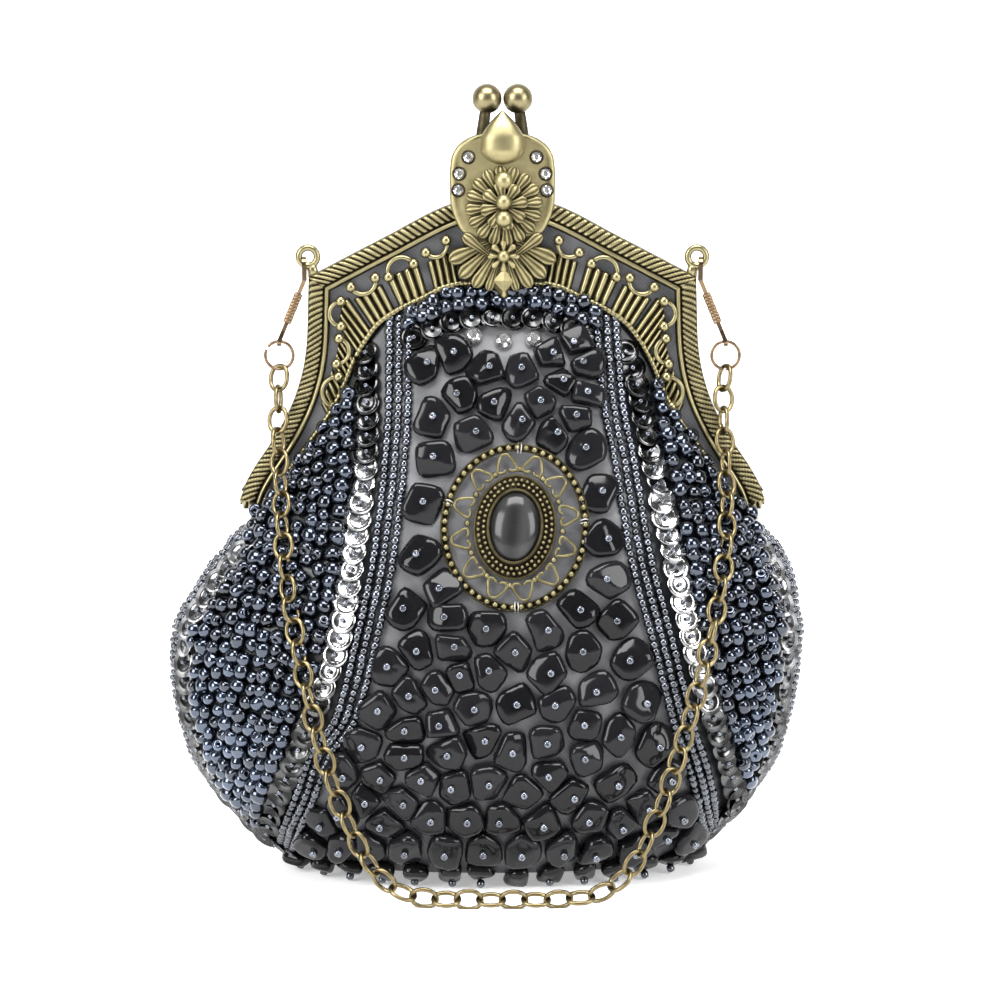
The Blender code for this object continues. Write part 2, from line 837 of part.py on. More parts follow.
def point_at(points, share):
    """Point of a line at a share of its length."""
    points = np.array(points)
    along = length_along(points)
    at = share * along[-1]
    return np.array([np.interp(at, along, points[:, 0]), np.interp(at, along, points[:, 1])])


def frame_lines(foot_bottom):
    """Right halves of the border's outer and inner lines and of the arch, crest to foot."""
    outer = framed(OUTER_SHARES)
    outer[-1] = (outer[-1][0], foot_bottom + BORDER_WIDTH / 4)
    inner = offset_line(outer, BORDER_WIDTH)
    inner[0] = (0.0, inner[0][1])
    inner[-1] = (inner[-1][0], foot_bottom)
    arch = framed(ARCH_SHARES)
    return outer, inner, arch


def band_outline(upper, lower):
    """Closed outline of a band between two right halves, each drawn from the middle to the foot."""
    left_upper = [(-x, z) for x, z in reversed(upper[1:])]
    left_lower = [(-x, z) for x, z in lower[1:]]
    return left_upper + list(upper) + list(reversed(lower)) + left_lower


def window_outlines(inner, arch):
    """Filigree windows of the right half, between the rim and the border."""
    ridge = offset_line(inner, FILIGREE_BITE)
    rim = offset_line(arch, -RIM_WIDTH)
    step = (WINDOW_LAST_SHARE - WINDOW_FIRST_SHARE) / WINDOWS
    whole = length_along(arch)[-1]
    half_bar = BAR_WIDTH / whole / 2
    windows = []
    for index in range(WINDOWS):
        start = WINDOW_FIRST_SHARE + index * step + half_bar
        end = WINDOW_FIRST_SHARE + (index + 1) * step - half_bar
        corners = [
            point_at(rim, start),
            point_at(rim, end),
            point_at(ridge, end),
            point_at(ridge, start),
        ]
        windows.append([tuple(corner) for corner in corners])
    return windows


def make_half_frame(name, facing, foot_bottom, lug_inner_x):
    """One half frame: border, filigree, feet with their lugs, and the front one's ears.

    It is drawn as the front half, and facing = 1 turns it to the back.
    """
    outer, inner, arch = frame_lines(foot_bottom)
    front = -HALF_SEAM - FRAME_THICKNESS
    frame = plate(name, [band_outline(outer, inner)], front, FRAME_THICKNESS)
    bite = offset_line(inner, -FILIGREE_BITE)
    bite[0] = (0.0, bite[0][1])
    windows = window_outlines(inner, arch)
    windows += [[(-x, z) for x, z in window] for window in windows]
    filigree = plate(
        name + "_filigree",
        [band_outline(bite, arch)] + windows,
        front + FILIGREE_SETBACK,
        FILIGREE_THICKNESS,
    )
    combine(frame, filigree, "UNION")
    for side, word in ((-1, "left"), (1, "right")):
        pocket = cylinder(
            f"{name}_pocket_{word}",
            POCKET_RADIUS,
            2 * BORDER_WIDTH,
            (side * (LUG_INNER_X + LUG_THICKNESS), 0.0, HINGE_HEIGHT),
            (1.0, 0.0, 0.0),
            24,
        )
        combine(frame, pocket, "DIFFERENCE")
        lug_middle = side * (lug_inner_x + LUG_THICKNESS / 2)
        lug = cylinder(
            f"{name}_lug_{word}",
            LUG_RADIUS,
            LUG_THICKNESS,
            (lug_middle, 0.0, HINGE_HEIGHT),
            (1.0, 0.0, 0.0),
            20,
        )
        combine(frame, lug, "UNION")
        bar_top = max(foot_bottom, HINGE_HEIGHT) + LUG_RADIUS
        bar = box(
            f"{name}_lug_bar_{word}",
            (lug_middle - LUG_THICKNESS / 2, front + CLOTH / 2, HINGE_HEIGHT - RIVET_RADIUS),
            (lug_middle + LUG_THICKNESS / 2, -LUG_RADIUS / 2, bar_top),
        )
        combine(frame, bar, "UNION")
        bore = cylinder(
            f"{name}_bore_{word}",
            RIVET_RADIUS + HINGE_PLAY,
            LUG_THICKNESS + 2 * PLAY,
            (lug_middle, 0.0, HINGE_HEIGHT),
            (1.0, 0.0, 0.0),
            16,
        )
        combine(frame, bore, "DIFFERENCE")
    if facing < 0:
        for side, word in ((-1, "left"), (1, "right")):
            centre = (side * EAR_X, EAR_Z)
            neck_x = side * (EAR_X - EAR_HOLE_RADIUS + FINE_PLAY)
            neck = box(
                f"ear_neck_{word}",
                (neck_x - EAR_NECK / 2, EAR_Y - EAR_THICKNESS / 3, EAR_Z - EAR_OUTER_RADIUS - EAR_NECK / 2),
                (neck_x + EAR_NECK / 2, EAR_Y + EAR_THICKNESS / 3, EAR_Z - EAR_HOLE_RADIUS - FINE_PLAY),
            )
            combine(frame, neck, "UNION")
            ear = plate(
                f"ear_{word}",
                [
                    ellipse(EAR_OUTER_RADIUS, EAR_OUTER_RADIUS, 20, centre),
                    ellipse(EAR_HOLE_RADIUS, EAR_HOLE_RADIUS, 16, centre),
                ],
                EAR_Y - EAR_THICKNESS / 2,
                EAR_THICKNESS,
            )
            combine(frame, ear, "UNION")
    finish(frame, ANTIQUE_BRASS)
    if facing > 0:
        turn_to_back([frame] + [change.object for change in frame.modifiers])
    return frame


def turn_to_back(pieces):
    """Reflect pieces from the front of the bag to the back."""
    for piece in pieces:
        piece.data.transform(Matrix.Diagonal((1.0, -1.0, 1.0, 1.0)))
        piece.data.flip_normals()


def make_rivet(side, word):
    """Rivet through the feet of both half frames, with a head at each end."""
    inner_face = LUG_INNER_X - PLAY
    outer_face = LUG_INNER_X + 2 * LUG_THICKNESS + 2 * PLAY
    middle = side * (inner_face + outer_face) / 2
    length = outer_face - inner_face + RIVET_HEAD
    pin = cylinder(
        f"hinge_rivet_{word}",
        RIVET_RADIUS,
        length,
        (middle, 0.0, HINGE_HEIGHT),
        (1.0, 0.0, 0.0),
        16,
    )
    for place, end in ((inner_face - RIVET_HEAD / 2, "inner"), (outer_face + RIVET_HEAD / 2, "outer")):
        head = cylinder(
            f"rivet_head_{end}_{word}",
            RIVET_HEAD_RADIUS,
            RIVET_HEAD,
            (side * place, 0.0, HINGE_HEIGHT),
            (1.0, 0.0, 0.0),
            12,
        )
        combine(pin, head, "UNION")
    finish(pin, ANTIQUE_BRASS)


def crest_point(share_x, share_z):
    """A point of the crest in x and z from its shares."""
    return (share_x * CREST_HALF_WIDTH, CREST_BOTTOM + share_z * (CREST_TOP - CREST_BOTTOM))


CREST_BACK = -HALF_SEAM - FRAME_THICKNESS - PLAY
CREST_FRONT = CREST_BACK - CREST_THICKNESS


def make_crest(name, facing):
    """Crest plate with its teardrop, rosette and balls, cast in one."""
    half = [crest_point(x, z) for x, z in CREST_SHARES]
    crest = plate(name, [mirror_points(half)], CREST_FRONT, CREST_THICKNESS)
    rosette = cylinder(
        name + "_rosette",
        ROSETTE_RADIUS,
        ROSETTE_DOME,
        (0.0, CREST_FRONT - ROSETTE_DOME / 2 + CREST_THICKNESS / 2, ROSETTE_HEIGHT),
        (0.0, -1.0, 0.0),
        16,
        ROSETTE_RADIUS / 2,
    )
    combine(crest, rosette, "UNION")
    height_share, half_share, rise_share = TEARDROP_SHARES
    _, drop_z = crest_point(0.0, height_share)
    drop = ball(
        name + "_teardrop",
        CREST_HALF_WIDTH * rise_share,
        (0.0, CREST_FRONT, drop_z),
        12,
        8,
        (1.0, rise_share, 1.0 + half_share),
    )
    combine(crest, drop, "UNION")
    for number, (height, radius) in enumerate(CREST_BALL_SHARES):
        _, ball_z = crest_point(0.0, height)
        lift = ROSETTE_DOME / 2 if abs(ball_z - ROSETTE_HEIGHT) < ROSETTE_RADIUS / 2 else 0.0
        bead = ball(
            f"{name}_ball_{number}",
            ROSETTE_RADIUS * radius,
            (0.0, CREST_FRONT - lift, ball_z),
            10,
            6,
        )
        combine(crest, bead, "UNION")
    finish(crest, ANTIQUE_BRASS)
    if facing > 0:
        turn_to_back([crest] + [change.object for change in crest.modifiers])
    return crest


def make_gem(name, radius, depth, centre, normal):
    """A round cut stone whose flat table faces along the normal."""
    work = bmesh.new()
    bmesh.ops.create_cone(
        work,
        cap_ends=True,
        segments=8,
        radius1=radius,
        radius2=radius * GEM_TABLE_SHARE,
        depth=depth,
    )
    turn = Vector((0.0, 0.0, 1.0)).rotation_difference(Vector(normal)).to_matrix().to_4x4()
    work.transform(Matrix.Translation(centre) @ turn)
    mesh = bpy.data.meshes.new(name)
    work.to_mesh(mesh)
    work.free()
    obj = bpy.data.objects.new(name, mesh)
    BAG.objects.link(obj)
    finish(obj, CRYSTAL_FINISH)
    return obj


def make_crest_stones(prefix, facing):
    """Three stones on each shoulder of a crest."""
    stones = []
    for side, word in ((-1, "left"), (1, "right")):
        for number, (share_x, share_z) in enumerate(STONE_SHARES):
            x, z = crest_point(share_x, share_z)
            y = CREST_FRONT - PLAY - STONE_DEPTH / 2
            centre = (side * x, -facing * y, z)
            name = f"{prefix}_stone_{word}_{number + 1}"
            stones.append(make_gem(name, STONE_RADIUS, STONE_DEPTH, centre, (0.0, facing, 0.0)))
    return stones


def make_lock_ball(name, facing):
    """A kiss-lock ball on the stem that stands up from its half frame."""
    side = facing
    foot_x = side * STEM_FOOT_X
    foot_share = STEM_FOOT_X / FRAME_HALF_WIDTH
    top_edge = HINGE_HEIGHT + FRAME_RISE * interpolate(OUTER_SHARES[: CORNER + 1], foot_share)
    foot = Vector((foot_x, facing * (HALF_SEAM + FRAME_THICKNESS / 2), top_edge + PLAY + STEM_FOOT_RADIUS / 2))
    centre = Vector((side * (BALL_RADIUS + PLAY / 2), 0.0, BALL_HEIGHT))
    along = centre - foot
    stem = cylinder(
        name,
        STEM_FOOT_RADIUS,
        along.length,
        (foot + centre) / 2,
        along.normalized(),
        12,
        STEM_NECK_RADIUS,
    )
    knob = ball(name + "_knob", BALL_RADIUS, centre, 18, 12)
    combine(stem, knob, "UNION")
    finish(stem, ANTIQUE_BRASS)
    return stem


def cloth_surface(x, height):
    """Distance out from the frame's plane to the cloth's outer side at a point."""
    place = (x - sway(height)) / half_width(height)
    return seam_depth(height) + half_depth(height) * belly(place)


def cloth_normal(x, height, step=SEAM_STRIP):
    """Direction square to the front cloth at a point, measured over a step each way."""
    across = (cloth_surface(x + step, height) - cloth_surface(x - step, height)) / (2 * step)
    up = (cloth_surface(x, height + step) - cloth_surface(x, height - step)) / (2 * step)
    return Vector((-across, -1.0, -up)).normalized()


def settle(mesh, x, height, lift, turn=0.0):
    """Lay a mesh drawn in x and z, with its front towards -Y, flat on the front cloth."""
    normal = cloth_normal(x, height, MEDALLION_HALF_HEIGHT / 2)
    upward = Vector((0.0, 0.0, 1.0))
    upward = (upward - normal * upward.dot(normal)).normalized()
    across = upward.cross(normal)
    axes = Matrix((across, -normal, upward)).transposed().to_4x4()
    foot = Vector((x, -cloth_surface(x, height), height)) + normal * lift
    mesh.transform(Matrix.Translation(foot) @ axes @ Matrix.Rotation(turn, 4, "Y"))


def make_medallion():
    """Openwork medallion, its bezel and the dark cabochon in it."""
    ring_outline = ellipse(MEDALLION_HALF_WIDTH, MEDALLION_HALF_HEIGHT, 40)
    loops = []
    band_x = (MEDALLION_HALF_WIDTH + BEZEL_HALF_WIDTH) / 2
    band_z = (MEDALLION_HALF_HEIGHT + BEZEL_HALF_HEIGHT) / 2
    loop_half = (MEDALLION_HALF_WIDTH - BEZEL_HALF_WIDTH) / 2 - 2 * PLAY - BAR_WIDTH / 2
    for number in range(MEDALLION_LOOPS):
        angle = 2 * math.pi * (number + 0.5) / MEDALLION_LOOPS
        centre = (band_x * math.cos(angle), band_z * math.sin(angle))
        loops.append(ellipse(loop_half, loop_half, 8, centre, angle))
    pieces = (
        ("medallion_ring", [ring_outline] + loops, MEDALLION_THICKNESS, MEDALLION_STAND_OFF, ANTIQUE_BRASS),
        (
            "medallion_bezel",
            [
                ellipse(BEZEL_HALF_WIDTH, BEZEL_HALF_HEIGHT, 28),
                ellipse(CABOCHON_HALF_WIDTH + PLAY, CABOCHON_HALF_HEIGHT + PLAY, 24),
            ],
            BEZEL_THICKNESS,
            MEDALLION_STAND_OFF + MEDALLION_THICKNESS + PLAY,
            ANTIQUE_BRASS,
        ),
    )
    for name, outlines, thickness, lift, kind in pieces:
        obj = plate(name, outlines, -thickness, thickness)
        settle(obj.data, MEDALLION_X, MEDALLION_HEIGHT, lift, MEDALLION_TILT)
        finish(obj, kind)
    profile_steps = 5
    sides = 20
    points = []
    faces = []
    for level in range(profile_steps):
        angle = math.pi / 2 * level / profile_steps
        for step in range(sides):
            around = 2 * math.pi * step / sides
            x = CABOCHON_HALF_WIDTH * math.cos(angle) * math.cos(around)
            z = CABOCHON_HALF_HEIGHT * math.cos(angle) * math.sin(around)
            points.append((x, -CABOCHON_RISE * math.sin(angle), z))
    points.append((0.0, -CABOCHON_RISE, 0.0))
    for level in range(profile_steps - 1):
        for step in range(sides):
            after = (step + 1) % sides
            here = level * sides
            above = here + sides
            faces.append((here + step, here + after, above + after, above + step))
    last = (profile_steps - 1) * sides
    for step in range(sides):
        faces.append((last + step, last + (step + 1) % sides, len(points) - 1))
    faces.append(tuple(range(sides)))
    stone = mesh_object("cabochon", points, faces)
    smooth_shade(stone)
    lift = MEDALLION_STAND_OFF + MEDALLION_THICKNESS + PLAY
    settle(stone.data, MEDALLION_X, MEDALLION_HEIGHT, lift, MEDALLION_TILT)
    finish(stone, DARK_STONE_FINISH)


def chip_corner(row, column):
    """Place and height of a corner between chips, let wander so that no two chips are alike."""
    first = CHIP_FIELD_SHARES[0][0]
    last = CHIP_FIELD_SHARES[-1][0]
    step = (1 - first) / CHIP_ROWS_BELOW * HINGE_HEIGHT
    if row <= CHIP_ROWS_BELOW:
        share = first + row * (1 - first) / CHIP_ROWS_BELOW
        height = share * HINGE_HEIGHT
    else:
        share = 1 + (row - CHIP_ROWS_BELOW) * (last - 1) / CHIP_ROWS_ABOVE
        height = HINGE_HEIGHT + (share - 1) * (ARCH_TOP - HINGE_HEIGHT)
    left = POUCH_HALF_WIDTH * interpolate([(z, a) for z, a, _ in CHIP_FIELD_SHARES], share)
    right = POUCH_HALF_WIDTH * interpolate([(z, b) for z, _, b in CHIP_FIELD_SHARES], share)
    width = (right - left) / CHIP_COLUMNS
    x = left + column * width
    if 0 < column < CHIP_COLUMNS:
        x += CHIP_WANDER_SHARE * width * math.sin(2 * row + 4 * column)
    if row > 0 and abs(row - CHIP_ROWS_BELOW) > 1 and row < CHIP_ROWS_BELOW + CHIP_ROWS_ABOVE:
        height += CHIP_WANDER_SHARE * step * math.sin(3 * row + 2 * column)
    return x, height


def clear_of_medallion(corners):
    """Whether a chip with these corners leaves the medallion and its clearance free."""
    wide = MEDALLION_HALF_WIDTH + CHIP_CLEARANCE
    tall = MEDALLION_HALF_HEIGHT + CHIP_CLEARANCE
    corners = np.array(corners)
    sides = (corners + np.roll(corners, 1, axis=0)) / 2
    tested = np.concatenate([corners, sides, corners.mean(axis=0)[None]])
    across = (tested[:, 0] - MEDALLION_X) / wide
    along = (tested[:, 1] - MEDALLION_HEIGHT) / tall
    return bool((across ** 2 + along ** 2 > 1).all())


def lifted(x, height, lift):
    """A point above the front cloth, square to it."""
    foot = Vector((x, -cloth_surface(x, height), height))
    return tuple(foot + cloth_normal(x, height) * lift)


def make_chips(name, rows, facing):
    """A field of cut chips on one thin bed: each chip rises from its cell with a bevel all round."""
    cells = {}
    for row in rows:
        for column in range(CHIP_COLUMNS):
            ring = [(row, column), (row, column + 1), (row + 1, column + 1), (row + 1, column)]
            corners = [chip_corner(*corner) for corner in ring]
            if facing > 0 or clear_of_medallion(corners):
                cells[(row, column)] = (ring, corners)
    used = sorted({corner for ring, _ in cells.values() for corner in ring})
    under = {corner: number for number, corner in enumerate(used)}
    count = len(used)
    points = [lifted(*chip_corner(*corner), CHIP_STAND_OFF) for corner in used]
    points += [lifted(*chip_corner(*corner), CHIP_STAND_OFF + CHIP_BED) for corner in used]
    faces = []
    edges = set()
    for ring, corners in cells.values():
        below = [under[corner] for corner in ring]
        around = [number + count for number in below]
        middle = np.mean(corners, axis=0)
        top = []
        for corner in corners:
            x, height = np.array(corner) + (middle - corner) * 2 * CHIP_BEVEL_SHARE
            top.append(len(points))
            points.append(lifted(x, height, CHIP_STAND_OFF + CHIP_HEIGHT))
        faces += [(below[2], below[1], below[0]), (below[3], below[2], below[0])]
        faces += [(top[0], top[1], top[2]), (top[0], top[2], top[3])]
        for here in range(4):
            there = (here + 1) % 4
            faces.append((around[here], around[there], top[there]))
            faces.append((around[here], top[there], top[here]))
            edge = (below[here], below[there])
            if edge[::-1] in edges:
                edges.remove(edge[::-1])
            else:
                edges.add(edge)
    for here, there in sorted(edges):
        faces.append((here, there, there + count))
        faces.append((here, there + count, here + count))
    if facing > 0:
        points = [(x, -y, z) for x, y, z in points]
    field = mesh_object(name, points, faces)
    finish(field, DARK_STONE_FINISH)
    return field


def make_crystals():
    """Three clear crystals sewn to the front cloth under the arch."""
    for name, across, height_share in CRYSTAL_SHARES:
        x = across * MEDALLION_HALF_WIDTH
        height = HINGE_HEIGHT + height_share * (ARCH_TOP - HINGE_HEIGHT)
        normal = cloth_normal(x, height)
        surface = Vector((x, -cloth_surface(x, height), height))
        gem_centre = surface + normal * (PLAY + CRYSTAL_DEPTH / 2)
        make_gem(name, CRYSTAL_RADIUS, CRYSTAL_DEPTH, gem_centre, normal)


def ribbon_section(width, thickness):
    """Section of a flat strip, wide across and thin outwards."""
    return [
        (-width / 2, -thickness / 2),
        (width / 2, -thickness / 2),
        (width / 2, thickness / 2),
        (-width / 2, thickness / 2),
    ]


def arc(centre_y, centre_z, radius, start, end, steps):
    """Points of an arc in y and z, angles counted from +Y towards +Z."""
    angles = np.linspace(math.radians(start), math.radians(end), steps)
    return [(centre_y + radius * math.cos(a), centre_z + radius * math.sin(a)) for a in angles]


def hook_x(height):
    """How far out the slanting hook is at a height."""
    upright = HOOK_FREE_END_Z
    share = min(max((upright - height) / (upright - RING_TOP_Z), 0.0), 1.0)
    return HOOK_X + (RING_X - HOOK_X) * share


def make_hook(side, word):
    """Spring hook of bent strip, its clamping sleeve and its sprung tongue."""
    bend = [(EAR_Y - HOOK_BEND, HOOK_FREE_END_Z)]
    bend += arc(EAR_Y, HOOK_AXIS_Z, HOOK_BEND, 180, 0, 9)
    bend += [(EAR_Y + HOOK_BEND, HOOK_FREE_END_Z)]
    bend += [(EAR_Y + HOOK_HALF_GAP, HOOK_AXIS_Z - HOOK_NARROW)]
    bend += [(EAR_Y + HOOK_HALF_GAP, RING_TOP_Z + 3 * RING_LOOP_RADIUS)]
    bend += arc(EAR_Y, RING_TOP_Z, RING_LOOP_RADIUS, 0, -180, 7)
    bend += [(EAR_Y - HOOK_HALF_GAP, RING_TOP_Z + 3 * RING_LOOP_RADIUS)]
    bend += [(EAR_Y - HOOK_HALF_GAP, HOOK_RETURN_Z)]
    route = [(side * hook_x(z), y, z) for y, z in bend]
    hook = sweep(
        f"hook_{word}",
        route,
        ribbon_section(HOOK_WIDTH, HOOK_THICKNESS),
        (1.0, 0.0, 0.0),
    )
    finish(hook, COPPERY_BRASS)
    leaf = [
        (EAR_Y - HOOK_HALF_GAP, SLEEVE_TOP_Z + FINE_PLAY),
        (EAR_Y - TONGUE_TIP_OFFSET, HOOK_FREE_END_Z),
        (EAR_Y - TONGUE_TIP_OFFSET, HOOK_AXIS_Z - TONGUE_TIP),
    ]
    tongue = sweep(
        f"hook_tongue_{word}",
        [(side * hook_x(z), y, z) for y, z in leaf],
        ribbon_section(HOOK_WIDTH, TONGUE_THICKNESS),
        (1.0, 0.0, 0.0),
    )
    finish(tongue, COPPERY_BRASS)
    inner_x = HOOK_WIDTH / 2 + FINE_PLAY
    inner_y = HOOK_HALF_GAP + HOOK_THICKNESS / 2 + FINE_PLAY
    ends = [(side * hook_x(z), EAR_Y, z) for z in (SLEEVE_BOTTOM_Z, SLEEVE_TOP_Z)]
    sleeve = sweep(
        f"hook_sleeve_{word}",
        ends,
        ribbon_section(2 * (inner_x + SLEEVE_WALL), 2 * (inner_y + SLEEVE_WALL)),
        (1.0, 0.0, 0.0),
    )
    past = (Vector(ends[1]) - Vector(ends[0])).normalized() * SLEEVE_WALL
    bore = sweep(
        f"hook_sleeve_bore_{word}",
        [Vector(ends[0]) - past, Vector(ends[1]) + past],
        ribbon_section(2 * inner_x, 2 * inner_y),
        (1.0, 0.0, 0.0),
    )
    combine(sleeve, bore, "DIFFERENCE")
    finish(sleeve, COPPERY_BRASS)
    return hook, sleeve, tongue


def make_ring(side, word):
    """Split ring that joins a hook to the chain."""
    bpy.ops.mesh.primitive_torus_add(
        major_segments=20,
        minor_segments=6,
        major_radius=RING_RADIUS,
        minor_radius=RING_WIRE,
    )
    ring = bpy.context.object
    for holder in list(ring.users_collection):
        holder.objects.unlink(ring)
    BAG.objects.link(ring)
    ring.name = f"ring_{word}"
    ring.data.transform(Matrix.Rotation(math.radians(90), 4, "X"))
    ring.data.transform(Matrix.Translation((side * RING_X, EAR_Y, RING_Z)))
    smooth_shade(ring)
    finish(ring, COPPERY_BRASS)
    return ring


def smooth_route(points, steps):
    """Points of a smooth curve through a route's own points."""
    points = np.array(points, float)
    ends = np.vstack([2 * points[0] - points[1], points, 2 * points[-1] - points[-2]])
    drawn = []
    for index in range(1, len(ends) - 2):
        a, b, c, d = ends[index - 1 : index + 3]
        for step in range(steps):
            t = step / steps
            drawn.append(
                0.5
                * (
                    2 * b
                    + (c - a) * t
                    + (2 * a - 5 * b + 4 * c - d) * t * t
                    + (3 * b - a - 3 * c + d) * t ** 3
                )
            )
    drawn.append(points[-1])
    return np.array(drawn)


def chain_route():
    """Points that the chain passes, from the bottom of the left ring to that of the right one."""
    ring_bottom = RING_Z - RING_RADIUS + LINK_WIRE
    points = [(-RING_X, EAR_Y, ring_bottom)]
    for across_share, stand_off_share, height_share in CHAIN_SHARES:
        x = across_share * RING_X
        height = height_share * RING_Z
        stand_off = stand_off_share * POUCH_HALF_DEPTH
        x *= 1 - (cloth_surface(x, height) + stand_off) / VIEW_DISTANCE
        points.append((x, -cloth_surface(x, height) - stand_off, height))
    points.append((RING_X, EAR_Y, ring_bottom))
    return points


def chain_joints():
    """Places where one link of the chain meets the next, evenly spaced along its route."""
    route = smooth_route(chain_route(), 12)
    along = length_along(route)
    places = np.linspace(0.0, along[-1], LINKS + 1)
    return np.stack([np.interp(places, along, route[:, axis]) for axis in range(3)], axis=1)


def link_route(start, end, reach_start, reach_end, roll):
    """Centre line of a link between two joints, and the direction square to its plane."""
    start = Vector(start)
    end = Vector(end)
    ahead = (end - start).normalized()
    level = Vector((0.0, 1.0, 0.0)).cross(ahead).normalized()
    flat = Matrix.Rotation(roll, 3, ahead) @ level
    first = start - ahead * reach_start
    last = end + ahead * reach_end
    quarter = (last - first) / 4
    tip = LINK_HALF_WIDTH * LINK_TIP_SHARE
    points = [
        first + flat * tip,
        first + quarter + flat * LINK_HALF_WIDTH,
        last - quarter + flat * LINK_HALF_WIDTH,
        last + flat * tip,
        last - flat * tip,
        last - quarter - flat * LINK_HALF_WIDTH,
        first + quarter - flat * LINK_HALF_WIDTH,
        first - flat * tip,
    ]
    return points, flat.cross(ahead)


def make_chain():
    """The chain, in stretches of links that touch where they hook into each other."""
    joints = chain_joints()
    stretches = []
    per_stretch = LINKS // CHAIN_STRETCHES
    diamond = [(LINK_WIRE, 0.0), (0.0, LINK_WIRE), (-LINK_WIRE, 0.0), (0.0, -LINK_WIRE)]
    for number in range(LINKS):
        place = number % per_stretch
        reach_start = LINK_FREE if place == 0 else LINK_BITE
        reach_end = LINK_FREE if place == per_stretch - 1 else LINK_BITE
        roll = math.radians(45 + 90 * (number % 2))
        route, plane = link_route(joints[number], joints[number + 1], reach_start, reach_end, roll)
        stretch = number // per_stretch
        name = f"chain_{stretch + 1:02d}" if place == 0 else f"chain_link_{number}"
        link = sweep(name, route, diamond, plane, closed=True)
        if place == 0:
            finish(link, CHAIN_BRASS)
            stretches.append(link)
        else:
            combine(stretches[-1], link, "UNION")
    return stretches


def pivot(name, centre, pieces):
    """An empty on a joint's axis that carries the pieces that turn about it."""
    empty = bpy.data.objects.new(name, None)
    empty.location = centre
    empty.empty_display_size = SLEEVE_WALL
    BAG.objects.link(empty)
    bpy.context.view_layer.update()
    for piece in pieces:
        piece.parent = empty
        piece.matrix_parent_inverse = empty.matrix_world.inverted()
    return empty


def build():
    """Make every piece of the handbag."""
    make_front_cloth()
    make_back_pouch()
    make_half_frame("front_frame", -1, FRONT_FOOT_BOTTOM, LUG_INNER_X)
    make_crest("front_crest", -1)
    make_crest_stones("front", -1)
    make_lock_ball("front_lock_ball", -1)
    make_medallion()
    make_crystals()
    chip_rows = CHIP_ROWS_BELOW + CHIP_ROWS_ABOVE
    first_on_flap = CHIP_ROWS_BELOW + CHIP_ROWS_LEFT_FOR_FOLD
    make_chips("front_chips", range(chip_rows), -1)
    make_chips("back_chips", range(CHIP_ROWS_BELOW - 1), 1)
    swinging = make_back_flap()
    swinging.append(make_chips("back_flap_chips", range(first_on_flap, chip_rows), 1))
    outer_lug = LUG_INNER_X + LUG_THICKNESS + PLAY
    swinging.append(make_half_frame("back_frame", 1, BACK_FOOT_BOTTOM, outer_lug))
    swinging.append(make_crest("back_crest", 1))
    swinging += make_crest_stones("back", 1)
    swinging.append(make_lock_ball("back_lock_ball", 1))
    pivot("frame_hinge", (0.0, 0.0, HINGE_HEIGHT), swinging)
    chain = make_chain()
    for side, word in ((-1, "left"), (1, "right")):
        make_rivet(side, word)
        hook, sleeve, tongue = make_hook(side, word)
        pivot(f"hook_pivot_{word}", (side * HOOK_X, EAR_Y, HOOK_AXIS_Z), [hook, sleeve])
        pivot(f"tongue_pivot_{word}", (side * HOOK_X, EAR_Y - HOOK_HALF_GAP, SLEEVE_TOP_Z), [tongue])
        chain.append(make_ring(side, word))
    pivot("ring_pivot", (-RING_X, EAR_Y, RING_TOP_Z), chain)


build()
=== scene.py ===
# %% [markdown]
# # A sequin handbag, built with arrays of points
#
# The bag is a beaded satin pouch under a pair of antique-brass half frames with a kiss lock.
# Its solids come from the CAD model. This script dresses them: satin, beads, sequins,
# cut chips, the ribbed border, the crest, the medallion and the chain.
# Every surface is a numpy function of whole arrays, so there is no loop over single points.
# Lengths are in millimetres until `put_mesh` turns them into metres.

# %% Set-up
import math

import bpy
import numpy as np
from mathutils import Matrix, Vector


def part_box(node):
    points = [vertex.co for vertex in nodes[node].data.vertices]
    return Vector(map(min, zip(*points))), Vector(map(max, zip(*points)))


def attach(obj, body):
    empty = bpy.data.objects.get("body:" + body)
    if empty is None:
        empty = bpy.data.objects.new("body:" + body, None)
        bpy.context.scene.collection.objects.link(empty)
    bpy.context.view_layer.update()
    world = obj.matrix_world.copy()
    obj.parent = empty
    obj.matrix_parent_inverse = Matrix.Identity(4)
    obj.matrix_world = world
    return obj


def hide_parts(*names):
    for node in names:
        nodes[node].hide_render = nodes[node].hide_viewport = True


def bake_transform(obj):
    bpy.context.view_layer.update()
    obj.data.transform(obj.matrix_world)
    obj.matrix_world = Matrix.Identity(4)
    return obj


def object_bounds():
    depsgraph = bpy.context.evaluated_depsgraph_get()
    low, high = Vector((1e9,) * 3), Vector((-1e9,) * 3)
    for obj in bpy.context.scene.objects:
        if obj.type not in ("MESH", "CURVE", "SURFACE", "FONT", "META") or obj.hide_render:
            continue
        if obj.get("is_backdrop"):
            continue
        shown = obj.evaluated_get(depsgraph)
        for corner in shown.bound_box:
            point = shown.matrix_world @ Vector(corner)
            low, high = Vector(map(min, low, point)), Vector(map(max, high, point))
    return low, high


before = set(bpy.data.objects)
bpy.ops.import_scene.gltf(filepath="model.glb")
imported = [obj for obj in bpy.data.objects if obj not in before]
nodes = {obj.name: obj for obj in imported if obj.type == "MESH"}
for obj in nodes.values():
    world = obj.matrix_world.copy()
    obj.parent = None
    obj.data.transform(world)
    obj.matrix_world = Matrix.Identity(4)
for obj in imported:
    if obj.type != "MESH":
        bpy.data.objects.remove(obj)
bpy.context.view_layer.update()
rng = np.random.default_rng(11)
scene = bpy.context.scene
FRONT, BACK = "pouch", "back_half_frame"

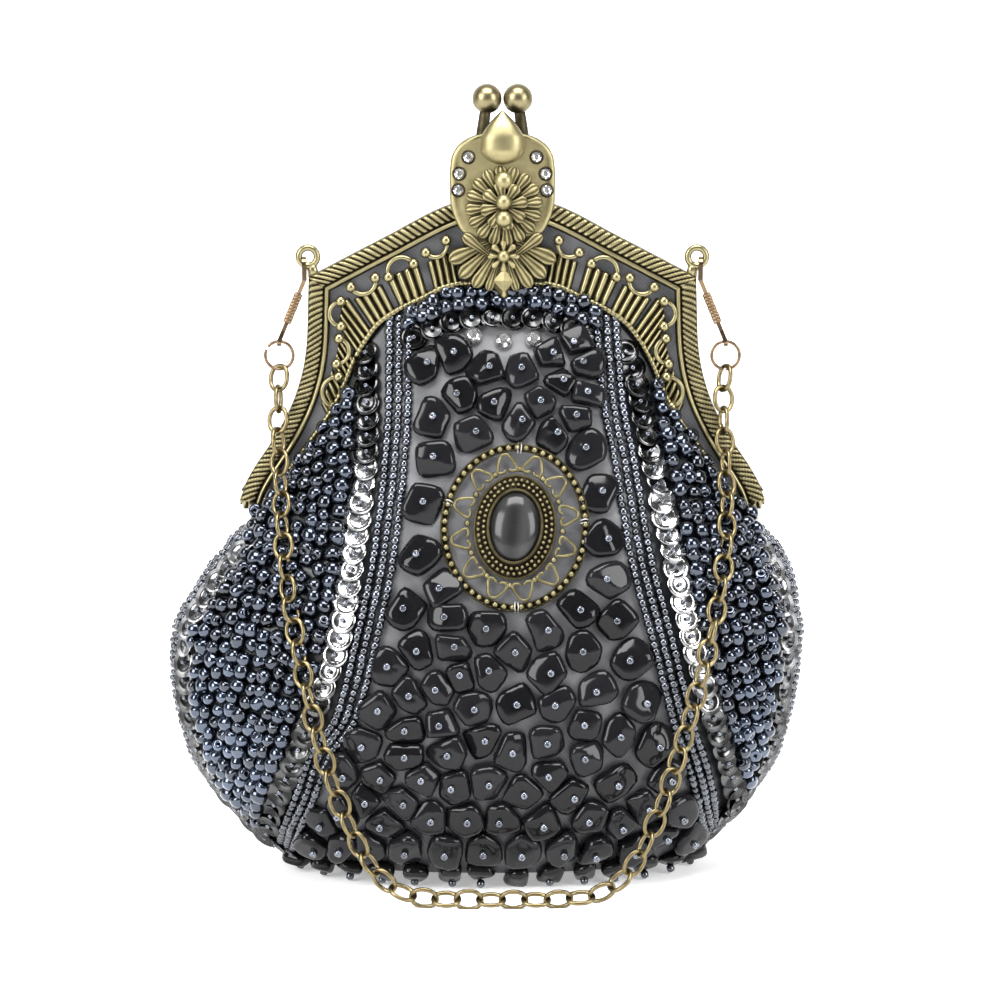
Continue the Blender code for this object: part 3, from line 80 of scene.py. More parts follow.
# %% [markdown]
# ## Reading a table
#
# A table lists a few measured points. Between them we want a curve that is smooth
# and never overshoots, which is the monotone cubic:
#
# $$f(t)=(1+2t)(1-t)^2 y_0 + t(1-t)^2 h\,m_0 + t^2(3-2t)\,y_1 + t^2(t-1)\,h\,m_1$$
#
# Its slope at a point is the harmonic mean of the slopes on both sides, and zero at a peak.

# %% Table reader
def read_table(table, at):
    """Monotone cubic f(at) through the table's (x, y) rows."""
    xs, ys = np.array(table, float).T
    rises = np.diff(ys) / np.diff(xs)
    before, after = rises[:-1], rises[1:]
    level = before * after <= 0
    inside = np.where(level, 0.0, 2 * before * after / np.where(level, 1.0, before + after))
    slopes = np.concatenate([rises[:1], inside, rises[-1:]])
    at = np.clip(at, xs[0], xs[-1])
    i = np.minimum(np.searchsorted(xs, at, side="right") - 1, len(xs) - 2)
    h = xs[i + 1] - xs[i]
    t = (at - xs[i]) / h
    low = (1 + 2 * t) * (1 - t) ** 2 * ys[i] + t * (1 - t) ** 2 * h * slopes[i]
    return low + t * t * (3 - 2 * t) * ys[i + 1] + t * t * (t - 1) * h * slopes[i + 1]


# %% [markdown]
# ## The pouch as a surface
#
# At height z the cloth spans a half width W(z) and stands D(z) out from its seam.
# With $p=(x-\text{lean})/W$ across, the belly is $D\,(1-|p|^{2.4})^{0.62}$:
# steep near the seams and nearly level in the middle.

# %% Cloth surface
HINGE = 93.0
RISE, FRAME_HALF = 77.0, 65.3
POUCH_HALF, BELLY, MOST_LEAN = 78.5, 31.0, 5.0
WIDTH_TABLE = [(0, .54), (.045, .635), (.09, .715), (.13, .77), (.17, .815), (.25, .892), (.33, .945),
               (.41, .97), (.50, .992), (.60, 1), (.66, .998), (.73, .97), (.81, .93), (.89, .865),
               (.94, .815), (1, .755)]
DEPTH_TABLE = [(0, .58), (.045, .72), (.09, .83), (.17, .94), (.27, .99), (.41, 1), (.56, .965), (.70, .90),
               (.81, .82), (.90, .745), (1, .665), (1.10, .555), (1.22, .43), (1.34, .30), (1.44, .15),
               (1.52, .05), (1.57, 0), (1.62, 0)]
LEAN_TABLE = [(0, -.5), (.15, -.9), (.45, -.9), (.65, -.75), (.78, -.3), (.88, 0), (1.7, 0)]
OUTER = np.array([(0, 1), (.199, .957), (.452, .850), (.733, .726), (.741, .532), (.753, .448), (.784, .351),
                  (.833, .260), (.894, .175), (.946, .110), (.980, .058), (1, .019)])
ARCH = np.array([(0, .709), (.1225, .709), (.213, .696), (.297, .662), (.392, .623), (.469, .578),
                 (.5145, .529), (.565, .4545), (.603, .3766), (.643, .305), (.706, .227), (.775, .146),
                 (.833, .078), (.888, .0195)])
PLANE = [FRAME_HALF, RISE]
OUTER_MM = OUTER * PLANE + [0, HINGE]
ARCH_MM = ARCH * PLANE + [0, HINGE]


def half_width(z):
    """W(z): the table below the hinge, the arch's own width above it."""
    arch = np.interp(z, ARCH_MM[1:][::-1, 1], ARCH_MM[1:][::-1, 0]) - 0.3
    return np.where(z < 92.2, POUCH_HALF * read_table(WIDTH_TABLE, z / HINGE), arch)


def lean(z):
    """Sideways lean of the pouch."""
    return MOST_LEAN * read_table(LEAN_TABLE, z / HINGE)


def seam_out(z):
    """Distance of the cloth's outer side from the middle plane at the seam."""
    return 3.05 - np.clip((z / HINGE - .80) / .16, 0, 1)


def bulge(share, z):
    """How far the cloth stands out from its seam, at a share of the half width."""
    return BELLY * read_table(DEPTH_TABLE, z / HINGE) * (1 - share ** 2.4) ** 0.62


def held(z):
    """How far the frame holds the cloth: 0 up to 75 mm, 1 from 90 mm up."""
    return np.clip((z - 75) / 15, 0, 1)


def surface_out(x, z):
    """Distance of the beaded surface from the middle plane, y = -out on the front."""
    p = np.clip(np.abs(x - lean(z)) / half_width(z), 0, 1)
    return seam_out(z) + bulge(p, z)


def surface_normal(x, z, step=0.6):
    """Unit normals of the front surface y = -out(x, z)."""
    dx = (surface_out(x + step, z) - surface_out(x - step, z)) / (2 * step)
    dz = (surface_out(x, z + step) - surface_out(x, z - step)) / (2 * step)
    n = np.stack([-dx, -np.ones_like(dx), -dz], axis=-1)
    return n / np.linalg.norm(n, axis=-1, keepdims=True)


def on_cloth(x, z, lift=0.0):
    """Points on the front cloth, lifted along the normal, with those normals."""
    x, z = np.asarray(x, float), np.asarray(z, float)
    n = surface_normal(x, z)
    p = np.stack([x, -surface_out(x, z), z], axis=-1)
    return p + n * np.asarray(lift, float)[..., None], n


# %% [markdown]
# ## Measuring along the cloth
#
# Beads lie in rows at even distances *along* the cloth, not along x. For every height we
# add up the small steps $\sqrt{\Delta x^2+\Delta y^2}$ from the middle outwards, and then
# read that running sum backwards to find x for a wanted distance.

# %% Distances across the cloth
ACROSS = np.sin(np.linspace(-math.pi / 2, math.pi / 2, 241))


def level_rows(z):
    """x places and signed distances from the middle for every height in z."""
    z = np.asarray(z, float)[:, None]
    x = lean(z) + ACROSS[None, :] * half_width(z)
    y = surface_out(x, z + 0 * x)
    step = np.hypot(np.diff(x, axis=1), np.diff(y, axis=1))
    run = np.concatenate([np.zeros((len(z), 1)), np.cumsum(step, axis=1)], axis=1)
    return x, run - run[:, len(ACROSS) // 2, None]


def row_read(known, wanted, values):
    """Row by row linear reading: values where known equals wanted."""
    i = np.clip((known < wanted[:, None]).sum(axis=1), 1, known.shape[1] - 1)
    r = np.arange(len(i))
    t = (wanted - known[r, i - 1]) / np.maximum(known[r, i] - known[r, i - 1], 1e-9)
    return values[r, i - 1] + np.clip(t, 0, 1) * (values[r, i] - values[r, i - 1])


def x_at(z, distance):
    """x of the point that lies a signed distance across the cloth at height z."""
    x, run = level_rows(z)
    return row_read(run, distance, x)


def distance_at(z, x):
    """Signed distance across the cloth of the point at x and height z."""
    xs, run = level_rows(z)
    return row_read(xs, x, run)


def edge_distance(z, side):
    """Signed distance of the seam at height z."""
    run = level_rows(z)[1]
    return run[:, -1] if side > 0 else run[:, 0]


def running_length(points):
    """Length of a line from its start up to each of its points."""
    return np.concatenate([[0.0], np.cumsum(np.linalg.norm(np.diff(points, axis=0), axis=1))])


def smooth_line(points, count):
    """A smooth line through given points, by the monotone table reader."""
    points = np.array(points, float)
    run = running_length(points)
    at = np.linspace(0, run[-1], count)
    return np.stack([read_table(np.stack([run, points[:, k]], 1), at) for k in range(points.shape[1])], 1)


# %% [markdown]
# ## Meshes and materials
#
# `put_mesh` makes an object from whole arrays. `grid_faces` lists the quads of a grid of
# rows and columns. `bake` copies one small template to many places at once: with centre c,
# axes A and scale s, each copy is $c + A\,(s\,p)$.

# %% Mesh helpers
def grid_faces(rows, columns, wrap=False):
    """Quads of a rows x columns grid, closed round its columns if wrap is set."""
    i = np.arange(rows - 1)[:, None] * columns
    j = np.arange(columns if wrap else columns - 1)[None, :]
    k = (j + 1) % columns
    return np.stack([i + j, i + k, i + columns + k, i + columns + j], axis=-1).reshape(-1, 4)


def put_mesh(name, points, faces, look, smooth=True, values=None, colours=None):
    """An object at the origin from points in mm, quads or triangles, and attributes."""
    points = np.asarray(points, float).reshape(-1, 3) * 0.001
    mesh = bpy.data.meshes.new(name)
    groups = [np.asarray(f, np.int64) for f in (faces if isinstance(faces, list) else [faces])]
    mesh.from_pydata(points.tolist(), [], [row for g in groups for row in g.tolist()])
    mesh.update()
    mesh.shade_smooth() if smooth else mesh.shade_flat()
    for key, data in (values or {}).items():
        flat = np.asarray(data, np.float32).ravel()
        mesh.attributes.new(key, "FLOAT", "POINT").data.foreach_set("value", flat)
    if colours is not None:
        rgba = np.concatenate([colours, np.ones((len(colours), 1))], axis=1).astype(np.float32)
        mesh.attributes.new("tint", "FLOAT_COLOR", "POINT").data.foreach_set("color", rgba.ravel())
    obj = bpy.data.objects.new(name, mesh)
    scene.collection.objects.link(obj)
    mesh.materials.append(look)
    return obj


def as_scales(scales, count):
    """One number, one per copy or three per copy, as three per copy."""
    scales = np.asarray(scales, float)
    return np.broadcast_to(scales[:, None] if scales.ndim == 1 else scales, (count, 3))


def bake(template, centres, axes, scales):
    """Copies of a template (points, faces): c + A (s p), as one pair of arrays."""
    points, faces = template
    scales = as_scales(scales, len(centres))
    spread = points[None] * scales[:, None, :]
    placed = centres[:, None, :] + np.einsum("nij,nkj->nki", axes, spread)
    shift = (np.arange(len(centres)) * len(points))[:, None, None]
    return placed.reshape(-1, 3), (faces[None] + shift).reshape(-1, faces.shape[1])


def frames_from(normals, along):
    """Matrices whose columns are along (made square to the normal), across and normal."""
    along = along - normals * np.sum(along * normals, axis=1, keepdims=True)
    along /= np.maximum(np.linalg.norm(along, axis=1, keepdims=True), 1e-9)
    return np.stack([along, np.cross(normals, along), normals], axis=2)


def spin(axes, angle):
    """Turn each frame about its third axis."""
    c, s = np.cos(angle)[:, None], np.sin(angle)[:, None]
    a, b = axes[:, :, 0], axes[:, :, 1]
    return np.stack([a * c + b * s, b * c - a * s, axes[:, :, 2]], axis=2)


def tip(axes, angle, about=1):
    """Tilt each frame about its first (0) or second (1) axis."""
    c, s = np.cos(angle)[:, None], np.sin(angle)[:, None]
    a, b, n = axes[:, :, 0], axes[:, :, 1], axes[:, :, 2]
    if about == 1:
        return np.stack([a * c - n * s, b, n * c + a * s], axis=2)
    return np.stack([a, b * c - n * s, n * c + b * s], axis=2)


def ring_solid(radii, heights, sides):
    """A turned shape: rings of the given radii and heights, joined by quads."""
    turn = np.arange(sides) * 2 * math.pi / sides
    r, h = np.array(radii, float)[:, None], np.array(heights, float)[:, None]
    points = np.stack([r * np.cos(turn), r * np.sin(turn), h + 0 * turn], axis=-1).reshape(-1, 3)
    return points, grid_faces(len(radii), sides, wrap=True)


def sphere(sides, rings):
    """Unit ball with its poles along the third axis."""
    a = np.linspace(0.04, math.pi - 0.04, rings)
    return ring_solid(np.sin(a), -np.cos(a), sides)


def sweep(route, section, up, closed=False, scale=None):
    """Carry a closed section along a route; returns points and quads with closed ends."""
    route = np.asarray(route, float)
    if closed:
        ahead = np.roll(route, -1, 0) - np.roll(route, 1, 0)
    else:
        ahead = np.gradient(route, axis=0)
    ahead /= np.linalg.norm(ahead, axis=1, keepdims=True)
    up = np.broadcast_to(np.asarray(up, float), route.shape)
    side = np.cross(ahead, up)
    side /= np.linalg.norm(side, axis=1, keepdims=True)
    out = np.cross(side, ahead)
    scale = np.ones(len(route)) if scale is None else np.asarray(scale, float)
    s = scale[:, None, None] * np.asarray(section, float)[None]
    points = route[:, None] + side[:, None] * s[..., :1] + out[:, None] * s[..., 1:]
    n, k = len(route), len(section)
    if closed:
        points = np.concatenate([points, points[:1]])
        return points.reshape(-1, 3), grid_faces(n + 1, k, wrap=True)
    ends = [ring.mean(axis=1, keepdims=True) + 0 * ring for ring in (points[:1], points[-1:])]
    points = np.concatenate([ends[0], points, ends[1]])
    return points.reshape(-1, 3), grid_faces(n + 2, k, wrap=True)


def circle(radius, sides):
    """A round section."""
    a = np.arange(sides) * 2 * math.pi / sides
    return np.stack([radius * np.cos(a), radius * np.sin(a)], axis=1)


def joined(parts):
    """Several (points, faces) pairs as one pair."""
    shift = np.cumsum([0] + [len(p) for p, _ in parts[:-1]])
    return np.concatenate([p for p, _ in parts]), np.concatenate([f + s for (_, f), s in zip(parts, shift)])


def mirrored(points, faces, axis=1):
    """The same shape reflected in x (0) or y (1)."""
    points = points.copy()
    points[:, axis] *= -1
    return points, faces[:, ::-1]


# %% [markdown]
# ## Materials
#
# Brass is a metal whose hollows have gone dark. Each relief carries an attribute `hollow`
# from 0 on its ridges to 1 in its grooves, and noise breaks the edge between the two.

# %% Materials
class Nodes:
    """A short way to build a node material."""

    def __init__(self, name, rough, metal, colour):
        self.made = bpy.data.materials.new(name)
        self.made.use_nodes = True
        self.tree = self.made.node_tree
        self.shader = self.tree.nodes["Principled BSDF"]
        self.set(**{"Base Color": (*colour, 1), "Roughness": rough, "Metallic": metal})
        self.made.diffuse_color = (*colour, 1)
        self.place = self.add("ShaderNodeTexCoord").outputs["Object"]

    def add(self, kind, **settings):
        """A new node of a kind, with its settings."""
        node = self.tree.nodes.new(kind)
        for key, value in settings.items():
            setattr(node, key, value)
        return node

    def set(self, **values):
        """Fixed values for the shader's inputs."""
        for key, value in values.items():
            self.shader.inputs[key].default_value = value

    def feed(self, source, socket):
        """Link an output to an input, or to the shader's input of that name."""
        self.tree.links.new(source, socket if not isinstance(socket, str) else self.shader.inputs[socket])

    def noise(self, scale, detail):
        """Cloudy noise in the piece's own place."""
        node = self.add("ShaderNodeTexNoise")
        node.inputs["Scale"].default_value = scale
        node.inputs["Detail"].default_value = detail
        self.feed(self.place, node.inputs["Vector"])
        return node.outputs["Fac"]

    def attribute(self, key, output="Fac"):
        """A value that the mesh carries at its points."""
        return self.add("ShaderNodeAttribute", attribute_name=key).outputs[output]

    def ramp(self, source, stops):
        """Colours read from a value, by stops of (value, colour)."""
        node = self.add("ShaderNodeValToRGB")
        ramp = node.color_ramp
        while len(ramp.elements) < len(stops):
            ramp.elements.new(0.5)
        for element, (at, colour) in zip(ramp.elements, stops):
            element.position, element.color = at, (*colour, 1)
        self.feed(source, node.inputs["Fac"])
        return node.outputs["Color"]

    def math(self, kind, a, b):
        """A sum of two outputs or numbers."""
        node = self.add("ShaderNodeMath", operation=kind)
        for socket, value in zip(node.inputs, (a, b)):
            if isinstance(value, (int, float)):
                socket.default_value = value
            else:
                self.feed(value, socket)
        return node.outputs[0]

    def bump(self, source, strength, distance):
        """Fine relief from a value."""
        node = self.add("ShaderNodeBump")
        node.inputs["Strength"].default_value = strength
        node.inputs["Distance"].default_value = distance
        self.feed(source, node.inputs["Height"])
        self.feed(node.outputs["Normal"], "Normal")


def brass(name, bright, middle, dark, rough):
    """Antique brass: bright ridges, dark hollows, fine scratches."""
    n = Nodes(name, rough, 1.0, middle)
    uneven = n.math("MULTIPLY", n.math("SUBTRACT", n.noise(420, 4), 0.5), 0.55)
    worn = n.math("ADD", n.attribute("hollow"), uneven)
    n.feed(n.ramp(worn, [(0.05, bright), (0.42, middle), (0.95, dark)]), "Base Color")
    rougher = n.math("ADD", n.math("MULTIPLY", worn, 0.28), rough - 0.06)
    n.feed(n.math("MINIMUM", rougher, 0.62), "Roughness")
    n.bump(n.noise(1900, 3), 0.10, 0.0001)
    return n.made


BRASS = brass("antique_brass_relief", (.25, .22, .12), (.12, .103, .052), (.011, .008, .005), 0.37)
CREST_BRASS = brass("cast_crest_brass", (.28, .245, .13), (.135, .115, .057), (.011, .008, .005), 0.47)
LOCK_BRASS = brass("brushed_lock_brass", (.21, .18, .10), (.115, .098, .053), (.013, .010, .007), 0.40)
CHAIN_LOOK = brass("chain_brass_wire", (.17, .135, .068), (.095, .074, .036), (.011, .008, .005), 0.36)
COPPER = brass("coppery_brass_strip", (.17, .115, .068), (.10, .066, .038), (.015, .010, .006), 0.34)


def satin():
    """Silver-grey satin: a faint fine twill, and painted shade from an attribute that darkens it under the
    beads.
    """
    n = Nodes("satin", 0.40, 0.0, (.06, .06, .065))
    wave = n.add("ShaderNodeTexWave", wave_type="BANDS", bands_direction="DIAGONAL")
    wave.inputs["Scale"].default_value = 620
    wave.inputs["Distortion"].default_value = 1.0
    n.feed(n.place, wave.inputs["Vector"])
    twill = n.math("MULTIPLY", wave.outputs["Fac"], 0.10)
    mixed = n.math("ADD", twill, n.math("MULTIPLY", n.noise(90, 3), 0.90))
    # Painted shade: the attribute darkens the satin under the beads, low down and behind the filigree
    lit = n.math("SUBTRACT", mixed, n.math("MULTIPLY", n.attribute("painted_shade"), 1.2))
    shades = [(0.0, (.004, .005, .007)), (0.25, (.045, .046, .050)), (0.8, (.165, .165, .172))]
    n.feed(n.ramp(lit, shades), "Base Color")
    n.set(**{"Sheen Weight": 0.10, "Sheen Roughness": 0.3, "Specular IOR Level": 0.5})
    n.bump(wave.outputs["Fac"], 0.05, 0.0001)
    return n.made


def tinted(name, rough, metal, coat=0.0, grain=0.0, shine=0.5):
    """A finish whose colour comes from the mesh attribute tint."""
    n = Nodes(name, rough, metal, (.1, .12, .16))
    n.feed(n.attribute("tint", "Color"), "Base Color")
    n.set(**{"Coat Weight": coat, "Coat Roughness": 0.05, "Specular IOR Level": shine})
    if grain:
        n.bump(n.noise(700, 2), grain, 0.0002)
    return n.made


def plain(name, colour, rough):
    """A dull finish of one colour, a little darker in places."""
    n = Nodes(name, rough, 0.0, colour)
    low = tuple(0.8 * c for c in colour)
    n.feed(n.ramp(n.noise(300, 3), [(0.3, low), (0.7, colour)]), "Base Color")
    return n.made


SATIN = satin()
LINING = plain("lining_cloth", (.035, .036, .042), 0.8)
BEAD = tinted("glass_bead", 0.14, 0.9, 1.0)
SEQUIN = tinted("sequin_foil", 0.16, 1.0, 0.0, 0.12)
CHIP = tinted("cut_chip", 0.10, 0.0, shine=0.20)
STONE = tinted("cabochon_stone", 0.16, 0.0, shine=0.25)
GEM = tinted("foil_crystal", 0.05, 0.9, 0.6)
THREAD = plain("thread", (.42, .42, .38), 0.6)


def bead_shape(sides, rings):
    """Unit bead: a barrel with a dimple at both ends of its bore, along the third axis."""
    a = np.linspace(0.0, math.pi, rings)
    radii = np.concatenate([[0.18], 0.30 + 0.70 * np.sin(a) ** 0.55, [0.18]])
    heights = np.concatenate([[-0.72], -0.98 * np.cos(a), [0.72]])
    return ring_solid(radii, heights, sides)


BALL = bead_shape(14, 8)
SMALL_BALL = bead_shape(10, 6)
ROUND_BALL = sphere(16, 11)

# %% [markdown]
# ## The satin
#
# Each side is one grid: rows climb from the rounded bottom edge to the arch's top. It lies
# under the beads, so it is drawn a little inside the CAD cloth.

# %% Satin
# Lines (height, x) of the two bands that frame the middle panel, and of the sequins beside them
BAND = {-1: [(4, -55), (14, -52), (24, -48), (34, -44.5), (44, -38), (63, -33), (82, -29), (103, -26.5),
             (120, -25.5), (140, -25.5)],
        1: [(4, 54), (12, 52), (26, 49), (44, 43.5), (62, 39), (83, 33.5), (104, 30), (120, 27), (140, 25.5)]}
LINE = {-1: [(4, -61), (11, -58.5), (20, -56), (33, -50.5), (48, -44.5), (63, -39.5), (87, -35.5), (110, -33),
             (132, -33.5)],
        1: [(4, 60), (15, 58.5), (24, 57), (31, 55), (44, 51), (62, 46), (82, 41.5), (98, 38), (114, 34.5),
            (129, 31), (133, 28)]}
ARCH_TOP = ARCH_MM[0, 1]


def cloth_grid(columns=121, deeper=0.0):
    """Grid of one side of the pouch, front side, drawn inwards for the beads."""
    spans = ((4.0, 20, 18), (21, 92, 54), (92.4, ARCH_TOP + 0.5, 58))
    z = np.concatenate([np.linspace(*span) for span in spans])
    u = np.sin(np.linspace(-math.pi / 2, math.pi / 2, columns))[None, :]
    thin = held(z)[:, None]
    width = (half_width(z) - 0.9)[:, None] + 0.9 * thin - deeper
    out = seam_out(z)[:, None] + bulge(np.abs(u), z[:, None])
    out = out - 1.05 + 0.8 * thin - deeper
    x = lean(z)[:, None] + u * width
    grid = np.stack([x, -out, np.broadcast_to(z[:, None], x.shape)], axis=-1)
    seam = grid[:, [0, -1]] * [1, 0, 1] + [0, -0.12, 0]
    grid = np.concatenate([seam[:, :1], grid, seam[:, 1:]], axis=1)
    turned = ((0.0, -1.9), (0.45, -1.8), (0.82, -1.4), (0.955, -0.7))
    foot = [grid[0] * [1, f, 1] + [0, 0, dz] for f, dz in turned]
    foot[0][:, 1] = -0.12
    return np.concatenate([np.stack(foot), grid])


def satin_painted_shade(grid):
    """Painted shade on the satin: 1 where large beads cover it, 0 in the middle panel, and a little painted
    shade low down.
    """
    z = np.clip(grid[:, 0, 2], 4, 139)
    left, right = [read_table(BAND[side], z)[:, None] for side in (-1, 1)]
    inside = np.minimum(grid[..., 0] - left, right - grid[..., 0])
    shade = np.interp(z, [10, 55], [0.30, 0.0])[:, None]
    return np.maximum(np.clip(0.3 - inside / 2, 0, 1), shade)


def put_cloth(name, grid, look, painted_shade=None):
    """A sheet from its grid of points; the last argument is painted shade where beads cover it."""
    values = None if painted_shade is None else {"painted_shade": painted_shade}
    return put_mesh(name, grid, grid_faces(grid.shape[0], grid.shape[1]), look, values=values)


# Painted shade for both satin sheets, from the bead bands and the height
painted_shade = satin_painted_shade(cloth_grid())
front_satin = put_cloth("front_satin", cloth_grid(), SATIN, painted_shade)
front_inner = put_cloth("front_lining_cloth", cloth_grid(81, 1.0), LINING)
flip = np.array([1, -1, 1])
back_satin = put_cloth("back_satin", (cloth_grid() * flip)[:, ::-1], SATIN, painted_shade[:, ::-1])
back_inner = put_cloth("back_lining_cloth", (cloth_grid(81, 1.0) * flip)[:, ::-1], LINING)
for piece, stands in ((front_satin, ["front_panel"]), (front_inner, ["front_lining"])):
    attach(piece, FRONT)
    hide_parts(*stands)
for piece, stands in ((back_satin, ["back_panel", "back_flap"]),
                      (back_inner, ["back_lining", "back_flap_lining"])):
    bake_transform(piece)
    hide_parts(*stands)
print("satin grid:", cloth_grid().shape)

# %% [markdown]
# ## Lines of beads
#
# The middle panel is framed by two bands of three bead rows. Outside each band runs a line
# of overlapping sequins, and rows of larger beads fill the rest of the way to the seams,
# where four small rows and another sequin line finish the edge.

# %% Bead lines
BAND_PITCH, BAND_STEP = 1.74, 2.45
SEQUIN_PITCH = 4.2
LARGE_PITCH, LARGE_STEP, LARGE_START, LARGE_ROWS = 3.4, 3.45, 5.1, 14
# Rows along the seam and under the arch: distance from it, kind and pitch
SEAM_ROWS = ((0.9, "edge", 1.6), (2.6, "edge", 1.6), (4.3, "edge", 1.6), (6.0, "edge", 1.6),
             (9.2, "sequin", 4.4))
ARCH_ROWS = ((2.2, "large", 3.0), (5.2, "large", 3.1), (8.8, "sequin", 4.6))
rows = {"small": [], "edge": [], "large": [], "sequin": []}


def add_row(kind, z, x, pitch, start=0.5):
    """Lay places for one row of beads or sequins along a line on the front cloth."""
    keep = np.isfinite(x)
    if keep.sum() < 4:
        return
    z, x = z[keep], x[keep]
    p, _ = on_cloth(x, z)
    run = running_length(p)
    if run[-1] < 2 * pitch:
        return
    count = max(int(run[-1] / pitch), 1)
    at = (np.arange(count) + start) * run[-1] / count
    heading = [np.interp(at + 0.4, run, line) - np.interp(at - 0.4, run, line) for line in p.T]
    rows[kind].append(np.column_stack([np.interp(at, run, x), np.interp(at, run, z), *heading]))


for side in (-1, 1):
    z = np.linspace(4.5, 139.5, 270)
    band_d = distance_at(z, read_table(BAND[side], z))
    for shift in (-BAND_STEP, 0.0, BAND_STEP):
        add_row("small", z, x_at(z, band_d + shift), BAND_PITCH)
    z = np.linspace(4.5, 132, 260)
    line_d = distance_at(z, read_table(LINE[side], z))
    add_row("sequin", z, x_at(z, line_d), SEQUIN_PITCH)
    edge = edge_distance(z, side)
    # Room for the seam's own rows, which end below the hinge
    room = np.where(z < 88, 11.4, 2.4)
    for k in range(LARGE_ROWS):
        d = line_d + side * (LARGE_START + LARGE_STEP * k)
        x = np.where(np.abs(d) < np.abs(edge) - room, x_at(z, d), np.nan)
        add_row("large", z, x, LARGE_PITCH, rng.uniform(0.3, 0.7))
    z = np.linspace(5, 86, 170)
    edge = edge_distance(z, side)
    for inset, kind, pitch in SEAM_ROWS:
        add_row(kind, z, x_at(z, edge - side * inset), pitch)

across = np.linspace(-24, 24, 120)
arch_z = np.interp(np.abs(across), ARCH_MM[:, 0], ARCH_MM[:, 1])
for drop, kind, pitch in ARCH_ROWS:
    add_row(kind, arch_z - drop, across, pitch)
places = {kind: np.concatenate(found) for kind, found in rows.items()}
print({kind: len(found) for kind, found in places.items()})

# %% [markdown]
# ## Baking beads and sequins
#
# Every bead is the same small barrel, a little shorter along its thread. A sequin is a
# shallow cup with a hole, tilted so that it lies on the next one like a roof tile.

# %% Beads
DEEP, SLATE = np.array([.019, .026, .042]), np.array([.050, .068, .104])
GUNMETAL = np.array([.068, .076, .094])
FOLD_LOW, FOLD_HIGH = 82.5, 101.5
SMALL_RADIUS, EDGE_RADIUS, LARGE_RADIUS, TIP_RADIUS = 1.15, 0.86, 1.97, 0.62
SEQUIN_RADIUS, CUP_SIDES = 3.35, 18


def tints(base, spread, per):
    """A colour per copy, varied in brightness, repeated for its vertices."""
    base = np.broadcast_to(base, (len(spread), 3)) * spread[:, None]
    return np.repeat(np.clip(base, 0, 1), per, axis=0)


def split_for_back(z):
    """Masks of what rides on the pouch, stays where it is at the hinge and rides on the back frame."""
    return {"low": z < FOLD_LOW, "fold": (z >= FOLD_LOW) & (z < FOLD_HIGH), "high": z >= FOLD_HIGH}


def carry(obj, part):
    """Put a piece of the back on the body that its part of the cloth follows; the part at the hinge stays
    where it stands.
    """
    if part == "fold":
        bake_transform(obj)
    else:
        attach(obj, FRONT if part == "low" else BACK)


def lay(name, template, x, z, axes, scales, lift, colours, look):
    """Bake copies onto the front cloth and, reflected, onto the back cloth."""
    centres, _ = on_cloth(x, z, lift)
    per = len(template[0])
    points, faces = bake(template, centres, axes, scales)
    obj = put_mesh("front_" + name, points, faces, look, colours=colours)
    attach(obj, FRONT)
    for part, mask in split_for_back(z).items():
        if mask.any():
            points, faces = bake(template, centres[mask], axes[mask], as_scales(scales, len(x))[mask])
            points, faces = mirrored(points, faces)
            kept = np.repeat(mask, per)
            carry(put_mesh(f"back_{name}_{part}", points, faces, look, colours=colours[kept]), part)


def lay_beads(kind, radius, lift, base_of, jitter):
    """Beads of one kind along all their rows, each with its own size, tilt and shade."""
    found = places[kind]
    x, z = found[:, 0], found[:, 1]
    count = len(x)
    x = x + rng.normal(0, jitter, count)
    z = z + rng.normal(0, jitter, count)
    _, n = on_cloth(x, z)
    axes = frames_from(n, found[:, 2:5])
    loose = 0.9 if kind == "large" else 0.12
    axes = tip(spin(axes, rng.normal(0, loose, count)), rng.normal(0, loose / 2, count))
    axes = np.stack([axes[:, :, 2], axes[:, :, 1], axes[:, :, 0]], axis=2)
    size = radius * rng.uniform(0.88, 1.1, count)
    scales = np.stack([size, size, size * rng.uniform(0.72, 0.98, count)], axis=1)
    template = BALL if radius > 1.2 else SMALL_BALL
    colours = tints(base_of(x, z), rng.uniform(0.5, 1.5, count), len(template[0]))
    lift = lift + max(radius - 1.1, 0) * held(z) + rng.uniform(-0.1, 0.15, count)
    lay(kind + "_beads", template, x, z, axes, scales, lift, colours, BEAD)


def large_colour(x, z):
    """Deep blue, paler low down at both sides."""
    low = np.clip((75 - z) / 45, 0, 1)[:, None] * np.clip((np.abs(x) - 50) / 18, 0, 1)[:, None]
    return DEEP * (1 - 0.75 * low) + SLATE * 0.75 * low


def small_colour(_, z):
    """Gunmetal, darker low down."""
    return GUNMETAL * np.interp(z, [10, 60, 130], [0.55, 0.8, 1.05])[:, None]


lay_beads("small", SMALL_RADIUS, 0.0, small_colour, 0.06)
lay_beads("edge", EDGE_RADIUS, 0.0, small_colour, 0.12)
lay_beads("large", LARGE_RADIUS, 0.30, large_colour, 0.30)

radii, heights = [0.13, 0.42, 0.60, 1.0, 0.99, 0.58, 0.40, 0.13], [0, 0, .04, .17, .14, 0, -.04, -.04]
cup = ring_solid(radii, heights, CUP_SIDES)
found = places["sequin"]
x, z = found[:, 0], found[:, 1]
count = len(x)
_, n = on_cloth(x, z)
axes = tip(frames_from(n, found[:, 2:5]), 0.14 + rng.normal(0, 0.07, count))
axes = tip(axes, rng.normal(0, 0.10, count), 0)
